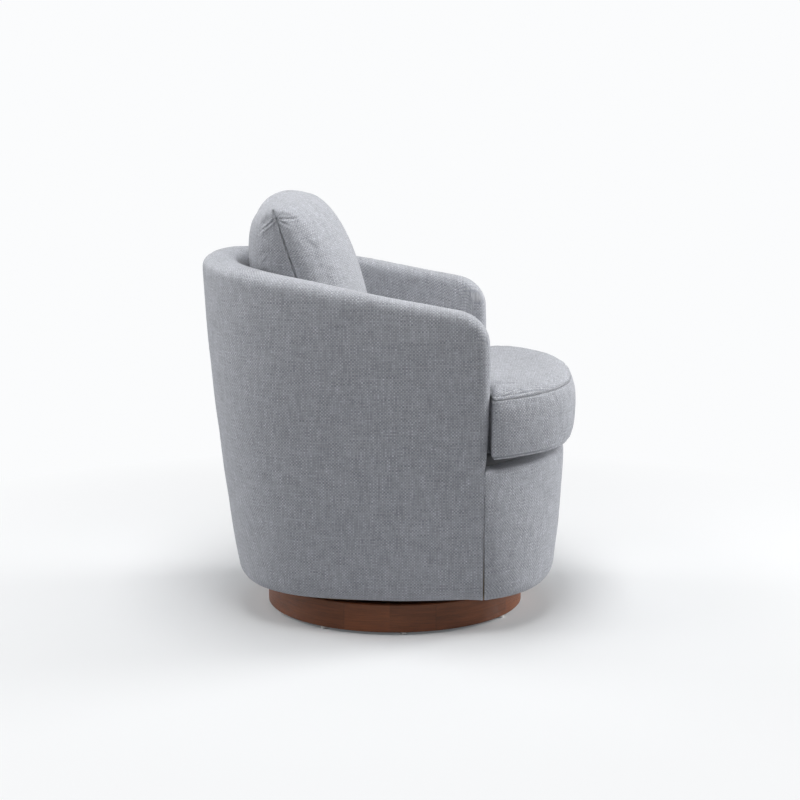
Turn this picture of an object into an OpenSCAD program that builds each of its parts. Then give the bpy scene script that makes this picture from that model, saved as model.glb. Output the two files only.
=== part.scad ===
// Swivel barrel chair: a round tub on a walnut plinth, with a loose seat cushion and a loose back pillow.
// Origin on the swivel axis at floor level, +Z up. The front of the chair faces -Y, the sitter's left is +X.
// The tub's outline is a rounded back with nearly straight arms and a bowed front, drawn in towards the floor.
// A place on the tub is a share of the way round it, a height, and an inset from the outer face.

/* [Tub] */
// Width across the arms at the rim
rim_width = 700; // [660:5:740]
// Width across the sides at the seat rail
waist_width = 640; // [610:5:670]
// Width across the sides just above the hem
foot_width = 544; // [520:4:580]
// From the swivel axis back to the rim
rim_back = 358; // [342:1:372]
// From the swivel axis back to the tub at the seat rail
waist_back = 331; // [320:1:345]
// From the swivel axis back to the tub just above the hem
foot_back = 300; // [292:1:318]
// From the swivel axis forward to the front panel at the seat rail
waist_front = 325; // [310:1:335]
// From the swivel axis forward to the front panel just above the hem
foot_front = 310; // [295:1:325]
// From the swivel axis forward to the arm ends and the corner seams
corner_front = 170; // [160:1:180]
// How far the arms draw in at their front ends
corner_pinch = 12; // [0:1:24]
// Thickness of the padded wall
wall = 65; // [58:1:74]
// Height of the rim beside the swivel axis
rim_height = 629; // [600:1:660]
// How much the rim climbs from beside the axis to the back
rim_rise = 64; // [30:1:90]
// How much that climb eases off at the back
rim_droop = 11; // [0:1:24]
// Radius of the arm's upper front corner
arm_corner_r = 45; // [30:1:60]
// Height of the padded roll along the rim
roll_h = 26; // [20:1:34]
// Height of the seat rail's top edge
rail_top = 309; // [290:1:325]

/* [Seat cushion] */
// Height of the cushion's boxing between its two seams
boxing_h = 108; // [90:1:130]
// How far the cushion's top crowns over its upper seam
crown_h = 32; // [24:1:44]
// How much that seam rises towards the middle of the bowed front
front_seam_rise = 3; // [0:1:10]
// From the swivel axis forward to the cushion's front seam
cushion_front = 335; // [325:1:350]
// Width across the cushion's two ears, in front of the arms
ear_width = 620; // [590:5:640]
// How far the boxing bulges past its seams
boxing_bulge = 8; // [4:1:12]

/* [Back pillow] */
// Room on each side of the pillow, to the inner walls at the rim
pillow_side_gap = 50; // [46:1:65]
// Height of the pillow, stuffed
pillow_h = 321; // [300:1:340]
// Thickness of the pillow through its middle
pillow_t = 194; // [170:1:198]
// Room behind the middle of the pillow, to the inner back at the rim
pillow_back_gap = 31; // [30:1:38]
// Lean of the pillow, in degrees from upright
pillow_lean = 14.5; // [11:0.5:15]

/* [Plinth] */
// Radius of the plinth
plinth_r = 247; // [235:1:255]
// Height of the plinth's walnut ring
plinth_h = 53; // [46:1:60]
// Thickness of the ring's wall
plinth_wall = 22; // [18:1:28]
// Height of a floor glide's disc
glide_h = 5; // [4:0.5:7]
// Radius of a floor glide
glide_r = 9; // [7:0.5:12]
// Gap between the plinth and the tub's hem
hem_gap = 8; // [6:0.5:14]

/* [Swivel] */
// Height of the ball-bearing swivel, plate to plate
swivel_h = 22; // [20:1:26]
// Side of the two square swivel plates
plate_side = 160; // [140:2:180]
// Thickness of a swivel plate
plate_t = 2.5; // [2:0.5:4]
// Radius of the ring of balls
race_r = 55; // [48:1:62]
// Radius of a ball
ball_r = 5; // [4:0.5:6]
// Number of balls
ball_count = 20; // [16:1:24]

/* [Hidden] */

// Clearance between two upholstered surfaces, and between a soft piece and its neighbour
soft_gap = 0.3;
// Clearance of a screw or nail in its hole, and of the pivot in its plate
pin_gap = 0.05;
// Overrun of every cut
cut = 1;
// Facets of a full circle
$fn = 64;

// Heights from the floor up
ring_top = glide_h + plinth_h;
hem_z = ring_top + hem_gap;
hem_cloth = 2;
board_z = hem_z + hem_cloth;
board_t = 15;
board_top = board_z + board_t;
deck_top = board_z - swivel_h;
foot_rise = 7;
foot_z = board_top + foot_rise;
waist_over = 10;
waist_z = rail_top + waist_over;
rim_over = 7;
rim_z = rim_height + rim_over;

// Layers of the wall, from the outer face inwards
cover_t = 8;
rib_slack = 2;
pad_in = 36;
rail_w = 46;
rail_t = 28;
board_inset = 13;
board_slack = 1;

// Shape of the tub's plan
plan_centre = 20;
plan_power = 2.5;
foot_bow_power = 0.7;
bow_angle = 53;
// Shares of the way from the middle of the back to the arm's front end
straight_share = 0.62;
seam_share = 0.35;

// The value at height z of a size known at the foot, the waist and the rim
function drawn(z, foot, waist, rim) =
    foot * (z - waist_z) * (z - rim_z) / ((foot_z - waist_z) * (foot_z - rim_z))
    + waist * (z - foot_z) * (z - rim_z) / ((waist_z - foot_z) * (waist_z - rim_z))
    + rim * (z - foot_z) * (z - waist_z) / ((rim_z - foot_z) * (rim_z - waist_z));
function half_w(z) = drawn(z, foot_width, waist_width, rim_width) / 2;
function back_r(z) = drawn(z, foot_back, waist_back, rim_back);
function front_r(z) = foot_front + (waist_front - foot_front) * sin(90 * (z - foot_z) / (waist_z - foot_z));

// A point of the back and arms: s runs from -1, the right arm's front end, over 0, the middle of the back, to 1
function tub(s, z, inset) =
    let (m = abs(s), w = half_w(z) - inset, b = back_r(z) - inset - plan_centre)
    m <= straight_share
        ? let (a = 90 * (1 - m / straight_share))
            [sign(s) * w * pow(cos(a), 2 / plan_power), plan_centre + b * pow(sin(a), 2 / plan_power), z]
        : let (f = (m - straight_share) / (1 - straight_share))
            [sign(s) * (w - corner_pinch * f * f), plan_centre - (plan_centre + corner_front) * f, z];

// The share s whose point lies the length y in front of the axis, on the straight part of an arm
function arm_share(y) =
    straight_share + (1 - straight_share) * (plan_centre + y) / (plan_centre + corner_front);

// A point of the bowed front: f is its share of the half width, -1 at the right corner seam and 1 at the left one
function bow_at(f, z, inset) =
    let (
        c = half_w(z) - corner_pinch,
        h = front_r(z) - corner_front,
        r = (c * c + h * h) / (2 * h),
        full = min(1, foot_bow_power + (1 - foot_bow_power) * (z - foot_z) / (waist_z - foot_z)),
        a = pow(max(0, sqrt(r * r - f * f * c * c) - (r - h)) / h, full))
    [f * (c - inset), -(corner_front + soft_gap + (h - inset - soft_gap) * a), z];
// The same for equal steps v along the bow
function bow(v, z, inset) = bow_at(sin(v * bow_angle) / sin(bow_angle), z, inset);

// Height of the rim over a point that lies y behind the axis, rounded down at the arm's front end
function rim_top(y) =
    let (q = y / rim_back, d = max(0, -y - (corner_front - arm_corner_r)))
    rim_height + rim_rise * q - rim_droop * q * q
        - (arm_corner_r - sqrt(max(0, arm_corner_r * arm_corner_r - d * d)));
function rim_at(s) = rim_top(tub(s, rim_z, 0)[1]);

// Stations round the tub: the back between its two corner seams, and one arm from seam to front end
back_steps = 12;
back_shares = [for (i = [0:back_steps]) seam_share * (2 * i / back_steps - 1)];
curve_steps = 5;
arm_curve_shares = [for (i = [0:curve_steps])
    seam_share + (straight_share - seam_share) * i / curve_steps];
arm_front_shares = [0.25, 0.5, 0.7, 0.8, 0.87, 0.92, 0.96, 0.985, 1];
left_shares = concat(arm_curve_shares,
    [for (f = arm_front_shares) straight_share + (1 - straight_share) * f]);
right_shares = [for (i = [len(left_shares) - 1:-1:0]) -left_shares[i]];
// Every station round the tub, front end to front end
round_shares = concat(right_shares, [for (i = [1:back_steps - 1]) back_shares[i]], left_shares);

// A solid between two sheets of points of one size: sheet a faces outwards, sheet b inwards
module sheet(a, b) {
    n = len(a);
    m = len(a[0]);
    points = concat([for (row = a) for (p = row) p], [for (row = b) for (p = row) p]);
    last = n - 1;
    top = m - 1;
    faces = concat(
        [for (j = [0:last - 1]) for (k = [0:top - 1]) each [
            [j * m + k, (j + 1) * m + k, (j + 1) * m + k + 1],
            [j * m + k, (j + 1) * m + k + 1, j * m + k + 1],
            [(n + j) * m + k, (n + j + 1) * m + k + 1, (n + j + 1) * m + k],
            [(n + j) * m + k, (n + j) * m + k + 1, (n + j + 1) * m + k + 1]]],
        [for (j = [0:last - 1]) each [
            [(j + 1) * m, j * m, (n + j) * m],
            [(j + 1) * m, (n + j) * m, (n + j + 1) * m],
            [j * m + top, (j + 1) * m + top, (n + j + 1) * m + top],
            [j * m + top, (n + j + 1) * m + top, (n + j) * m + top]]],
        [for (k = [0:top - 1]) each [
            [k, k + 1, n * m + k + 1],
            [k, n * m + k + 1, n * m + k],
            [last * m + k + 1, last * m + k, (n + last) * m + k],
            [last * m + k + 1, (n + last) * m + k, (n + last) * m + k + 1]]]);
    polyhedron(points, faces);
}

// A solid through closed loops of points, each right-handed about the way the loops follow one another. Its two
// ends close in on their loops' middles, or on the given point, moved to each end loop's height
module loft(loops, centre = undef) {
    n = len(loops);
    m = len(loops[0]);
    middle = function (loop) [for (c = [0:2]) let (v = [for (p = loop) p[c]]) v * [for (p = loop) 1] / m];
    end = function (loop) let (c = middle(loop)) centre == undef ? c : [centre[0], centre[1], c[2]];
    points = concat([for (loop = loops) for (p = loop) p], [end(loops[0]), end(loops[n - 1])]);
    faces = concat(
        [for (j = [0:n - 2]) for (k = [0:m - 1]) each [
            [j * m + k, (j + 1) * m + k, (j + 1) * m + (k + 1) % m],
            [j * m + k, (j + 1) * m + (k + 1) % m, j * m + (k + 1) % m]]],
        [for (k = [0:m - 1]) each [
            [n * m, k, (k + 1) % m],
            [n * m + 1, (n - 1) * m + (k + 1) % m, (n - 1) * m + k]]]);
    polyhedron(points, faces);
}

// The left piece of a pair as it is, or mirrored for the right
module paired(side) {
    if (side > 0) children();
    else mirror([1, 0, 0]) children();
}

module at_corners(side) {
    for (x = [-1, 1]) for (y = [-1, 1]) translate([x * side / 2, y * side / 2, 0]) children();
}

module rounded_square(side, r) {
    union() {
        square([side, side - 2 * r], center = true);
        square([side - 2 * r, side], center = true);
        at_corners(side - 2 * r) circle(r);
    }
}

// PLINTH

// Chamfer along the ring's outer edges
ring_chamfer = 2;
// Ledge that carries the plywood deck inside the ring
ledge_w = 13;
plinth_deck_t = 15;
// Bearings of the floor glides, in degrees
glide_bearings = [90, 149, 186, 239, 270, 301, 354, 31];
glide_nail_r = 1.2;
glide_nail_l = 18;
glide_ring_r = plinth_r - plinth_wall / 2;

module at_glide(i) {
    rotate([0, 0, glide_bearings[i - 1]]) translate([glide_ring_r, 0, 0]) children();
}

module plinth_ring() {
    inner = plinth_r - plinth_wall;
    color("#54392c")
    difference() {
        rotate_extrude($fn = 128) polygon([
            [inner, ring_top], [inner, deck_top - plinth_deck_t],
            [inner - ledge_w, deck_top - plinth_deck_t], [inner - ledge_w, glide_h],
            [plinth_r - ring_chamfer, glide_h], [plinth_r, glide_h + ring_chamfer],
            [plinth_r, ring_top - ring_chamfer], [plinth_r - ring_chamfer, ring_top]]);
        for (i = [1:len(glide_bearings)]) at_glide(i) translate([0, 0, glide_h - cut])
            cylinder(h = glide_nail_l + cut + pin_gap, r = glide_nail_r + pin_gap, $fn = 24);
    }
}

// Pilot holes of the lower swivel screws
screw_r = 2.4;
screw_l = 13;
screw_head_r = 5;
screw_head_h = 2.4;
lower_screw_inset = 12;
lower_screw_side = plate_side - 2 * lower_screw_inset;

module plinth_deck() {
    color("#c8a678")
    difference() {
        translate([0, 0, deck_top - plinth_deck_t])
            cylinder(h = plinth_deck_t, r = plinth_r - plinth_wall - soft_gap, $fn = 128);
        translate([0, 0, deck_top - screw_l]) at_corners(lower_screw_side)
            cylinder(h = screw_l + cut, r = screw_r + pin_gap, $fn = 24);
    }
}

// Edge radius of a glide's disc
glide_round = 2;

module glide(i) {
    color("#f2f0ec") at_glide(i) union() {
        rotate_extrude($fn = 48) polygon([
            [0, 0], [glide_r - glide_round, 0], [glide_r, glide_round], [glide_r, glide_h], [0, glide_h]]);
        translate([0, 0, glide_h]) cylinder(h = glide_nail_l, r = glide_nail_r, $fn = 24);
    }
}

// SWIVEL

plate_corner_r = 12;
pivot_r = 14;
pivot_bore_r = 10;
flange_w = 4;
flange_t = 0.8;
lip_t = 1.1;
race_w = 20;
race_wall = 5;
cage_w = 14;
cage_t = 3.6;
plate_hole_r = 4.5;
bolt_r = 4;
bolt_head_r = 7;
bolt_head_h = 3.6;
upper_bolt_inset = 17;
upper_bolt_side = plate_side - 2 * upper_bolt_inset;
lower_plate_top = deck_top + plate_t;
upper_plate_z = board_z - plate_t;
ball_z = (lower_plate_top + upper_plate_z) / 2;

// The ring-shaped ball track, as deep as the balls need, from the plate's face at z = 0 upwards
module race() {
    h = ball_z - lower_plate_top - cage_t / 2 - soft_gap;
    rotate_extrude($fn = 96) difference() {
        translate([race_r - race_w / 2, 0]) square([race_w, h]);
        translate([race_r, ball_z - lower_plate_top]) circle(ball_r + pin_gap, $fn = 48);
    }
}

module swivel_lower_plate() {
    color("#a9adb3") difference() {
        union() {
            translate([0, 0, deck_top]) linear_extrude(plate_t) rounded_square(plate_side, plate_corner_r);
            translate([0, 0, lower_plate_top]) race();
        }
        translate([0, 0, deck_top - cut]) at_corners(lower_screw_side)
            cylinder(h = plate_t + 2 * cut, r = screw_r + pin_gap, $fn = 24);
    }
}

module swivel_ball_ring() {
    color("#d9dce0") union() {
        translate([0, 0, ball_z - cage_t / 2]) rotate_extrude($fn = 96)
            translate([race_r - cage_w / 2, 0]) square([cage_w, cage_t]);
        for (i = [0:ball_count - 1]) rotate([0, 0, 360 * i / ball_count])
            translate([race_r, 0, ball_z]) sphere(ball_r, $fn = 32);
    }
}

module swivel_pivot() {
    flange_z = upper_plate_z + lip_t + soft_gap;
    color("#8d9197") rotate_extrude($fn = 96) polygon([
        [pivot_bore_r, lower_plate_top], [pivot_r + flange_w, lower_plate_top],
        [pivot_r + flange_w, lower_plate_top + flange_t], [pivot_r, lower_plate_top + flange_t],
        [pivot_r, flange_z], [pivot_r + flange_w, flange_z], [pivot_r + flange_w, flange_z + flange_t],
        [pivot_bore_r, flange_z + flange_t]]);
}

module lower_screws() {
    color("#b9bcc1") at_corners(lower_screw_side) union() {
        translate([0, 0, deck_top - screw_l]) cylinder(h = screw_l + plate_t, r = screw_r, $fn = 24);
        translate([0, 0, lower_plate_top]) cylinder(h = screw_head_h, r = screw_head_r, $fn = 32);
    }
}

module swivel_upper_plate() {
    color("#a9adb3") difference() {
        union() {
            translate([0, 0, upper_plate_z]) linear_extrude(plate_t) rounded_square(plate_side, plate_corner_r);
            translate([0, 0, upper_plate_z]) mirror([0, 0, 1]) race();
        }
        translate([0, 0, upper_plate_z - cut]) cylinder(h = plate_t + 2 * cut, r = pivot_r + pin_gap);
        translate([0, 0, upper_plate_z + lip_t])
            cylinder(h = plate_t, r = pivot_r + flange_w + soft_gap);
        translate([0, 0, upper_plate_z - cut]) at_corners(upper_bolt_side)
            cylinder(h = plate_t + 2 * cut, r = plate_hole_r, $fn = 24);
    }
}

module upper_bolts() {
    color("#b9bcc1") at_corners(upper_bolt_side) union() {
        translate([0, 0, upper_plate_z - bolt_head_h]) cylinder(h = bolt_head_h, r = bolt_head_r, $fn = 6);
        translate([0, 0, upper_plate_z]) cylinder(h = board_top + tee_t - upper_plate_z, r = bolt_r, $fn = 24);
    }
}

// Flange of a tee nut on the bottom board
tee_t = 1.4;
tee_r = 11;

module tee_nuts() {
    color("#b9bcc1") translate([0, 0, board_top]) at_corners(upper_bolt_side) difference() {
        cylinder(h = tee_t, r = tee_r, $fn = 32);
        translate([0, 0, -cut]) cylinder(h = tee_t + 2 * cut, r = bolt_r + pin_gap, $fn = 24);
    }
}

// FRAME

// Steps along each half of the bowed front
front_steps = 10;
bow_shares = [for (i = [front_steps:-1:-front_steps]) i / front_steps];
// The tub's whole outline at one height, at one inset all round
function outline(z, inset) = concat(
    [for (s = round_shares) let (p = tub(s, z, inset)) [p[0], p[1]]],
    [for (v = bow_shares) let (p = bow(v, z, inset)) [p[0], p[1]]]);

module bottom_board() {
    color("#c8a678") difference() {
        translate([0, 0, board_z]) linear_extrude(board_t) polygon(outline(board_z, board_inset + board_slack));
        translate([0, 0, board_z - cut]) at_corners(upper_bolt_side)
            cylinder(h = board_t + 2 * cut, r = plate_hole_r, $fn = 24);
    }
}

// How far the hem is turned under the bottom board, and the black cloth that closes the underside
hem_turn = 22;
cloth_t = 0.8;

module dust_cover() {
    color("#26262a") translate([0, 0, board_z - cloth_t - soft_gap / 2]) linear_extrude(cloth_t) difference() {
        polygon(outline(board_z, hem_turn + cover_t));
        square(plate_side + 2 * cover_t, center = true);
    }
}

// An upright that follows the barrel between two shares, standing on the bottom board
rib_steps = 8;
module rib(from, to) {
    outer = cover_t + soft_gap + rib_slack;
    inner = pad_in - soft_gap;
    top_z = function (s) rim_at(s) - roll_h - rail_t - 2 * soft_gap;
    loft([for (k = [0:rib_steps]) [for (c = [[from, outer], [from, inner], [to, inner], [to, outer]])
        tub(c[0], board_top + (top_z(c[0]) - board_top) * k / rib_steps, c[1])]]);
}

// Half the width of a rib, as a share of the way round
rib_half_share = 0.014;
back_rib_share = 0.12;
module rib_at(share, side) {
    color("#c8a678") paired(side) rib(share - rib_half_share, share + rib_half_share);
}

// Depth of the arm's front upright, from front to back, and its distance from the arm's end
post_d = 44;
post_back = 3;
post_steps = 3;
module front_post(side) {
    outer = cover_t + soft_gap + rib_slack;
    inner = pad_in - soft_gap - rib_slack / 2;
    near = arm_share(corner_front - post_d);
    far = arm_share(corner_front - post_back);
    shares = [for (i = [0:post_steps]) near + (far - near) * i / post_steps];
    section = concat([for (s = shares) [s, inner]], [for (i = [post_steps:-1:0]) [shares[i], outer]]);
    top_z = function (s) rim_at(s) - roll_h - 2 * soft_gap;
    color("#c8a678") paired(side)
        loft([for (k = [0:rib_steps]) [for (c = section)
            tub(c[0], board_top + (top_z(c[0]) - board_top) * k / rib_steps, c[1])]]);
}

// A bent rail along the tub through the given shares: low and high are heights for each share
module bent_rail(shares, outer, inner, low, high) {
    loft([for (s = shares) [for (c = [[outer, 0], [outer, 1], [inner, 1], [inner, 0]])
        tub(s, c[1] == 1 ? high(s) : low(s), c[0])]]);
}

module seat_rail() {
    shares = [for (s = round_shares) if (abs(s) <= arm_share(corner_front - arm_corner_r)) s];
    color("#c8a678")
    bent_rail(shares, pad_in, pad_in + rail_w, function (s) rail_top - rail_t, function (s) rail_top);
}

module top_rail() {
    end = arm_share(corner_front - post_d) - seam_gap_share;
    shares = concat([-end], [for (s = round_shares) if (abs(s) < end - seam_gap_share) s], [end]);
    color("#c8a678")
    bent_rail(shares, cover_t + soft_gap, pad_in - soft_gap,
        function (s) rim_at(s) - roll_h - rail_t - soft_gap, function (s) rim_at(s) - roll_h - 2 * soft_gap);
}

// Bowed plywood behind the front panel, and the cleat behind its top edge
front_board_t = 12;
front_board_steps = 6;
flange_reach = 46;
module bowed(outer, inner, low, high, steps) {
    loft([for (v = bow_shares) concat(
        [for (k = [0:steps]) bow(v, low + (high - low) * k / steps, outer)],
        [for (k = [steps:-1:0]) bow(v, low + (high - low) * k / steps, inner)])]);
}

module front_board() {
    a = cover_t + soft_gap + rib_slack;
    color("#c8a678") bowed(a, a + front_board_t, board_top, rail_top - hem_cloth, front_board_steps);
}

module front_cleat() {
    a = cover_t + rib_slack + front_board_t + soft_gap + board_slack;
    color("#c8a678") bowed(a, a + rail_w, rail_top - rail_t, rail_top, 1);
}

// Elastic webbing stretched over the rails, front to back and side to side
web_w = 50;
web_t = 1.8;
web_gap = 42;
web_pitch = web_w + web_gap;
web_places = [-1.5, -0.5, 0.5, 1.5];
// Inner face of the wall at the rail's top: how far back it lies at x, and how far out at y
function web_back(x) = let (w = half_w(rail_top) - wall, b = back_r(rail_top) - wall - plan_centre)
    plan_centre + b * pow(1 - pow(abs(x) / w, plan_power), 1 / plan_power) - 2 * soft_gap;
function web_side(y) = let (w = half_w(rail_top) - wall, b = back_r(rail_top) - wall - plan_centre)
    (y < plan_centre
        ? w - corner_pinch * pow((plan_centre - y) / (plan_centre + corner_front), 2)
        : w * pow(1 - pow((y - plan_centre) / b, plan_power), 1 / plan_power)) - soft_gap;
module webbing_long() {
    c = half_w(rail_top) - corner_pinch - wall;
    color("#3a3a3e") for (i = web_places) let (x = i * web_pitch, far = abs(x) + web_w / 2, back = web_back(far),
        front = -bow_at(far / c, rail_top, cover_t + flange_reach + soft_gap)[1])
        translate([x - web_w / 2, -front, rail_top + soft_gap]) cube([web_w, front + back, web_t]);
}

module webbing_cross() {
    color("#3a3a3e") for (i = web_places) let (y = i * web_pitch,
        reach = min(web_side(y - web_w / 2), web_side(y + web_w / 2)))
        translate([-reach, y - web_w / 2, rail_top + web_t + soft_gap]) cube([2 * reach, web_w, web_t]);
}

// UPHOLSTERY

// Heights of the deck pad's top, on which the seat cushion lies
deck_pad_t = 24;
deck_pad_z = rail_top + 2 * web_t + 2 * soft_gap;
seat_z = deck_pad_z + deck_pad_t;
flange_t_top = 9;

module deck_pad() {
    inner = wall + soft_gap;
    z = deck_pad_z;
    front_in = cover_t + flange_reach + soft_gap;
    points = concat(
        [for (s = round_shares) let (p = tub(s, z, inner)) [p[0], p[1]]],
        [for (v = bow_shares) [bow(v, z, inner)[0], bow(v, z, front_in)[1]]]);
    color("#8a8c92") translate([0, 0, z]) linear_extrude(deck_pad_t) polygon(points);
}

// The cover's edge turned under the board: insets and heights over the hem, outer face then inner face
hem_rise = foot_z - hem_z;
hem_shares = [0, 0.07, 0.22, 0.5, 1];
hem_outer_shares = [1, 0.6, 0.26, 0.07, 0];
function hem_out(k) = [hem_turn * hem_outer_shares[k], hem_z + hem_rise * hem_shares[k]];
function hem_in(k) =
    k == 0 ? [hem_turn, board_z - soft_gap]
    : k == 1 ? [board_inset - soft_gap, board_z - soft_gap]
    : k == 2 ? [board_inset - soft_gap, board_z + hem_cloth]
    : [board_inset - soft_gap + (cover_t - board_inset + soft_gap) * (k - 2) / 2,
        hem_z + hem_rise * (k == 3 ? 0.62 : 1)];
hem_levels = 4;
cover_levels = 10;
// Height of level k of the cover between the hem and the roll, at one share of the way round
function cover_z(s, k) =
    foot_z + (rim_at(s) - roll_h - soft_gap - foot_z) * k / cover_levels;

module cover(shares) {
    outer = [for (s = shares) concat(
        [for (k = [0:hem_levels]) tub(s, hem_out(k)[1], hem_out(k)[0])],
        [for (k = [1:cover_levels]) tub(s, cover_z(s, k), 0)])];
    inner = [for (s = shares) concat(
        [for (k = [0:hem_levels]) tub(s, hem_in(k)[1], hem_in(k)[0])],
        [for (k = [1:cover_levels]) tub(s, cover_z(s, k), cover_t)])];
    sheet(outer, inner);
}

module outer_back() {
    color("#9797a0") cover(back_shares);
}
// A side panel starts just beside the corner seam
seam_gap_share = 0.0008;
arm_shares = [for (s = left_shares) max(s, seam_share + seam_gap_share)];
module outer_side(side) {
    color("#77787c") paired(side) cover(arm_shares);
}

// The front panel climbs the bowed front, rounds over its top edge and lies back over the cleat
front_levels = 5;
front_round = 10;
module front_panel() {
    top = rail_top + soft_gap + flange_t_top;
    round_shares_in = [0.02, 0.12, 0.42, 1];
    round_shares_up = [0.35, 0.72, 0.96, 1];
    outer_chain = concat(
        [for (k = [0:hem_levels]) hem_out(k)],
        [for (k = [1:front_levels]) [0, foot_z + (top - front_round - foot_z) * k / front_levels]],
        [for (k = [0:3]) [front_round * round_shares_in[k], top - front_round + front_round * round_shares_up[k]]],
        [[cover_t + flange_reach, top]]);
    inner_chain = concat(
        [for (k = [0:hem_levels]) hem_in(k)],
        [for (k = [1:front_levels]) [cover_t, foot_z + (top - front_round - foot_z) * k / front_levels]],
        [for (k = [0:3]) [cover_t + (flange_reach / 8) * k / 3,
            min(rail_top + soft_gap, top - front_round + (front_round - flange_t_top + soft_gap) * (k + 1) / 3)]],
        [[cover_t + flange_reach, rail_top + soft_gap]]);
    color("#9797a0") sheet(
        [for (v = bow_shares) [for (c = outer_chain) bow(v, c[1], c[0])]],
        [for (v = bow_shares) [for (c = inner_chain) bow(v, c[1], c[0])]]);
}

pad_levels = 7;
module lining(shares) {
    z = function (s, k) rail_top + soft_gap
        + (rim_at(s) - roll_h - 2 * soft_gap - rail_top) * k / pad_levels;
    sheet([for (s = shares) [for (k = [0:pad_levels]) tub(s, z(s, k), pad_in)]],
        [for (s = shares) [for (k = [0:pad_levels]) tub(s, z(s, k), wall)]]);
}

module inner_back() {
    color("#a0a3ab") lining(back_shares);
}
module inner_side(side) {
    color("#a0a3ab") paired(side) lining(arm_shares);
}

// The roll over the rim: shares of the wall's thickness, and of the roll's height, over its section
roll_in_shares = [0, 0.01, 0.05, 0.14, 0.3, 0.66, 0.82, 0.93, 0.99, 1];
roll_up_shares = [0, 0.5, 0.8, 0.95, 1, 1, 0.9, 0.7, 0.38, 0];
module roll(shares) {
    loft([for (s = shares) [for (k = [0:len(roll_in_shares) - 1])
        tub(s, rim_at(s) - roll_h * (1 - roll_up_shares[k]), wall * roll_in_shares[k])]]);
}

module rim_back_roll() {
    color("#a8aab3") roll(back_shares);
}
module rim_side_roll(side) {
    color("#a8aab3") paired(side) roll(arm_shares);
}

// The padded facing that closes an arm's front end: its depth swells and fades with height
facing_d = 12;
facing_levels = 10;
facing_in_shares = [0, 0.05, 0.2, 0.5, 0.8, 0.95, 1];
facing_depth_shares = [0.05, 0.62, 0.94, 1, 0.94, 0.62, 0.05];
facing_swell_shares = [0.2, 0.55, 0.75, 0.88, 0.96, 1, 1, 0.97, 0.88, 0.7, 0.42];
module arm_front(side) {
    low = rail_top + flange_t_top + 2 * soft_gap;
    high = rim_at(1) - soft_gap;
    front = corner_front + soft_gap;
    color("#8d8f96") paired(side)
        loft([for (k = [0:facing_levels]) let (z = low + (high - low) * k / facing_levels, x = tub(1, z, 0)[0])
            concat([[x, -front, z], [x - wall, -front, z]],
                [for (i = [6:-1:0]) [x - wall * facing_in_shares[i],
                    -front - facing_d * facing_swell_shares[k] * facing_depth_shares[i], z]])]);
}

// SEAT CUSHION

// Clearance between the cushion's seams and the arms, and between its ears and the arm ends
side_gap = 5;
ear_gap = 3.5;
cushion_low = seat_z + soft_gap;
seam_z = cushion_low + boxing_h;
ear_y = corner_front + soft_gap + facing_d + ear_gap;
// How much wider the upper seam is than the lower one, each way, and the radius of an ear's tip
flare_w = 6;
ear_round = 14;
// Shares of the full bulge beside the arms and at an ear's tip
arm_bulge_share = 0.4;
tip_bulge_share = 0.5;

// The bow of the cushion's front, for equal steps v from the right ear to the left one
cushion_bow_steps = 11;
cushion_bow_power = 3;
function cushion_bow(v) =
    let (y = ear_y + ear_round, f = sin(v * bow_angle) / sin(bow_angle))
    [f * ear_width / 2, -(y + (cushion_front - y) * (1 - pow(abs(f), cushion_bow_power))),
        abs(v) == 1 ? tip_bulge_share : 1];
// Outline of the cushion's seams, anticlockwise from above: each point's place and its share of the bulge
cushion_shares = [for (i = [len(round_shares) - 1:-1:0]) let (s = round_shares[i])
    if (abs(s) < arm_share(corner_front - arm_corner_r) || abs(s) == 1) s];
function cushion_outline(flare) =
    let (
        arm = [for (s = cushion_shares) let (p = tub(s, cushion_low, wall + side_gap - flare))
            [p[0], p[1], abs(s) == 1 ? 0 : arm_bulge_share]],
        ear = [[arm[0][0], -ear_y, 0], [ear_width / 2 - ear_round, -ear_y, 0],
            [ear_width / 2 - ear_round / 4, -ear_y - ear_round / 3, 0]])
    concat(arm, [for (p = ear) [-p[0], p[1], p[2]]],
        [for (i = [-cushion_bow_steps:cushion_bow_steps]) cushion_bow(i / cushion_bow_steps)],
        [for (i = [2:-1:0]) ear[i]]);
// The outline moved outwards by each point's share of d
function bulged(points, d) = [for (i = [0:len(points) - 1]) let (
    n = len(points), a = points[(i + n - 1) % n], b = points[(i + 1) % n],
    t = [b[0] - a[0], b[1] - a[1]], normal = [t[1], -t[0]] / norm(t))
    [points[i][0], points[i][1]] + d * points[i][2] * normal];

// How the boxing bulges, and how the crown shrinks and climbs, from seam to seam
boxing_up_shares = [0, 0.05, 0.2, 0.5, 0.8, 0.95, 1];
boxing_out_shares = [0, 0.35, 0.75, 1, 0.9, 0.5, 0];
crown_in_shares = [0.985, 0.96, 0.92, 0.84, 0.72, 0.56, 0.38, 0.18];
// Places on the cushion's depth where the crown peaks, and about which its rings shrink
crown_peak_share = 0.1;
crown_middle_share = 0.62;
crown_powers = [2.4, 2.6];
// Share of the crown's height that the top puffs up at once from its seam, and how far in that takes
crown_puff_share = 0.44;
crown_puff_reach = 9;
function crown_rise(p) =
    let (
        peak = -crown_peak_share * cushion_front,
        u = abs(p[0]) / (ear_width / 2), v = abs(p[1] - peak) / (cushion_front + peak))
    (1 - pow(min(1, u), crown_powers[0])) * (1 - pow(min(1, v), crown_powers[1]));
function seam_lift(p) =
    front_seam_rise * max(0, 1 - pow(2 * p[0] / ear_width, 2))
    * max(0, min(1, (-p[1] - ear_y) / (cushion_front - ear_y)));
// The point that the crown's rings shrink about; every seam of the cushion is in plain view of it
cushion_middle = [0, -crown_middle_share * cushion_front];
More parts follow.
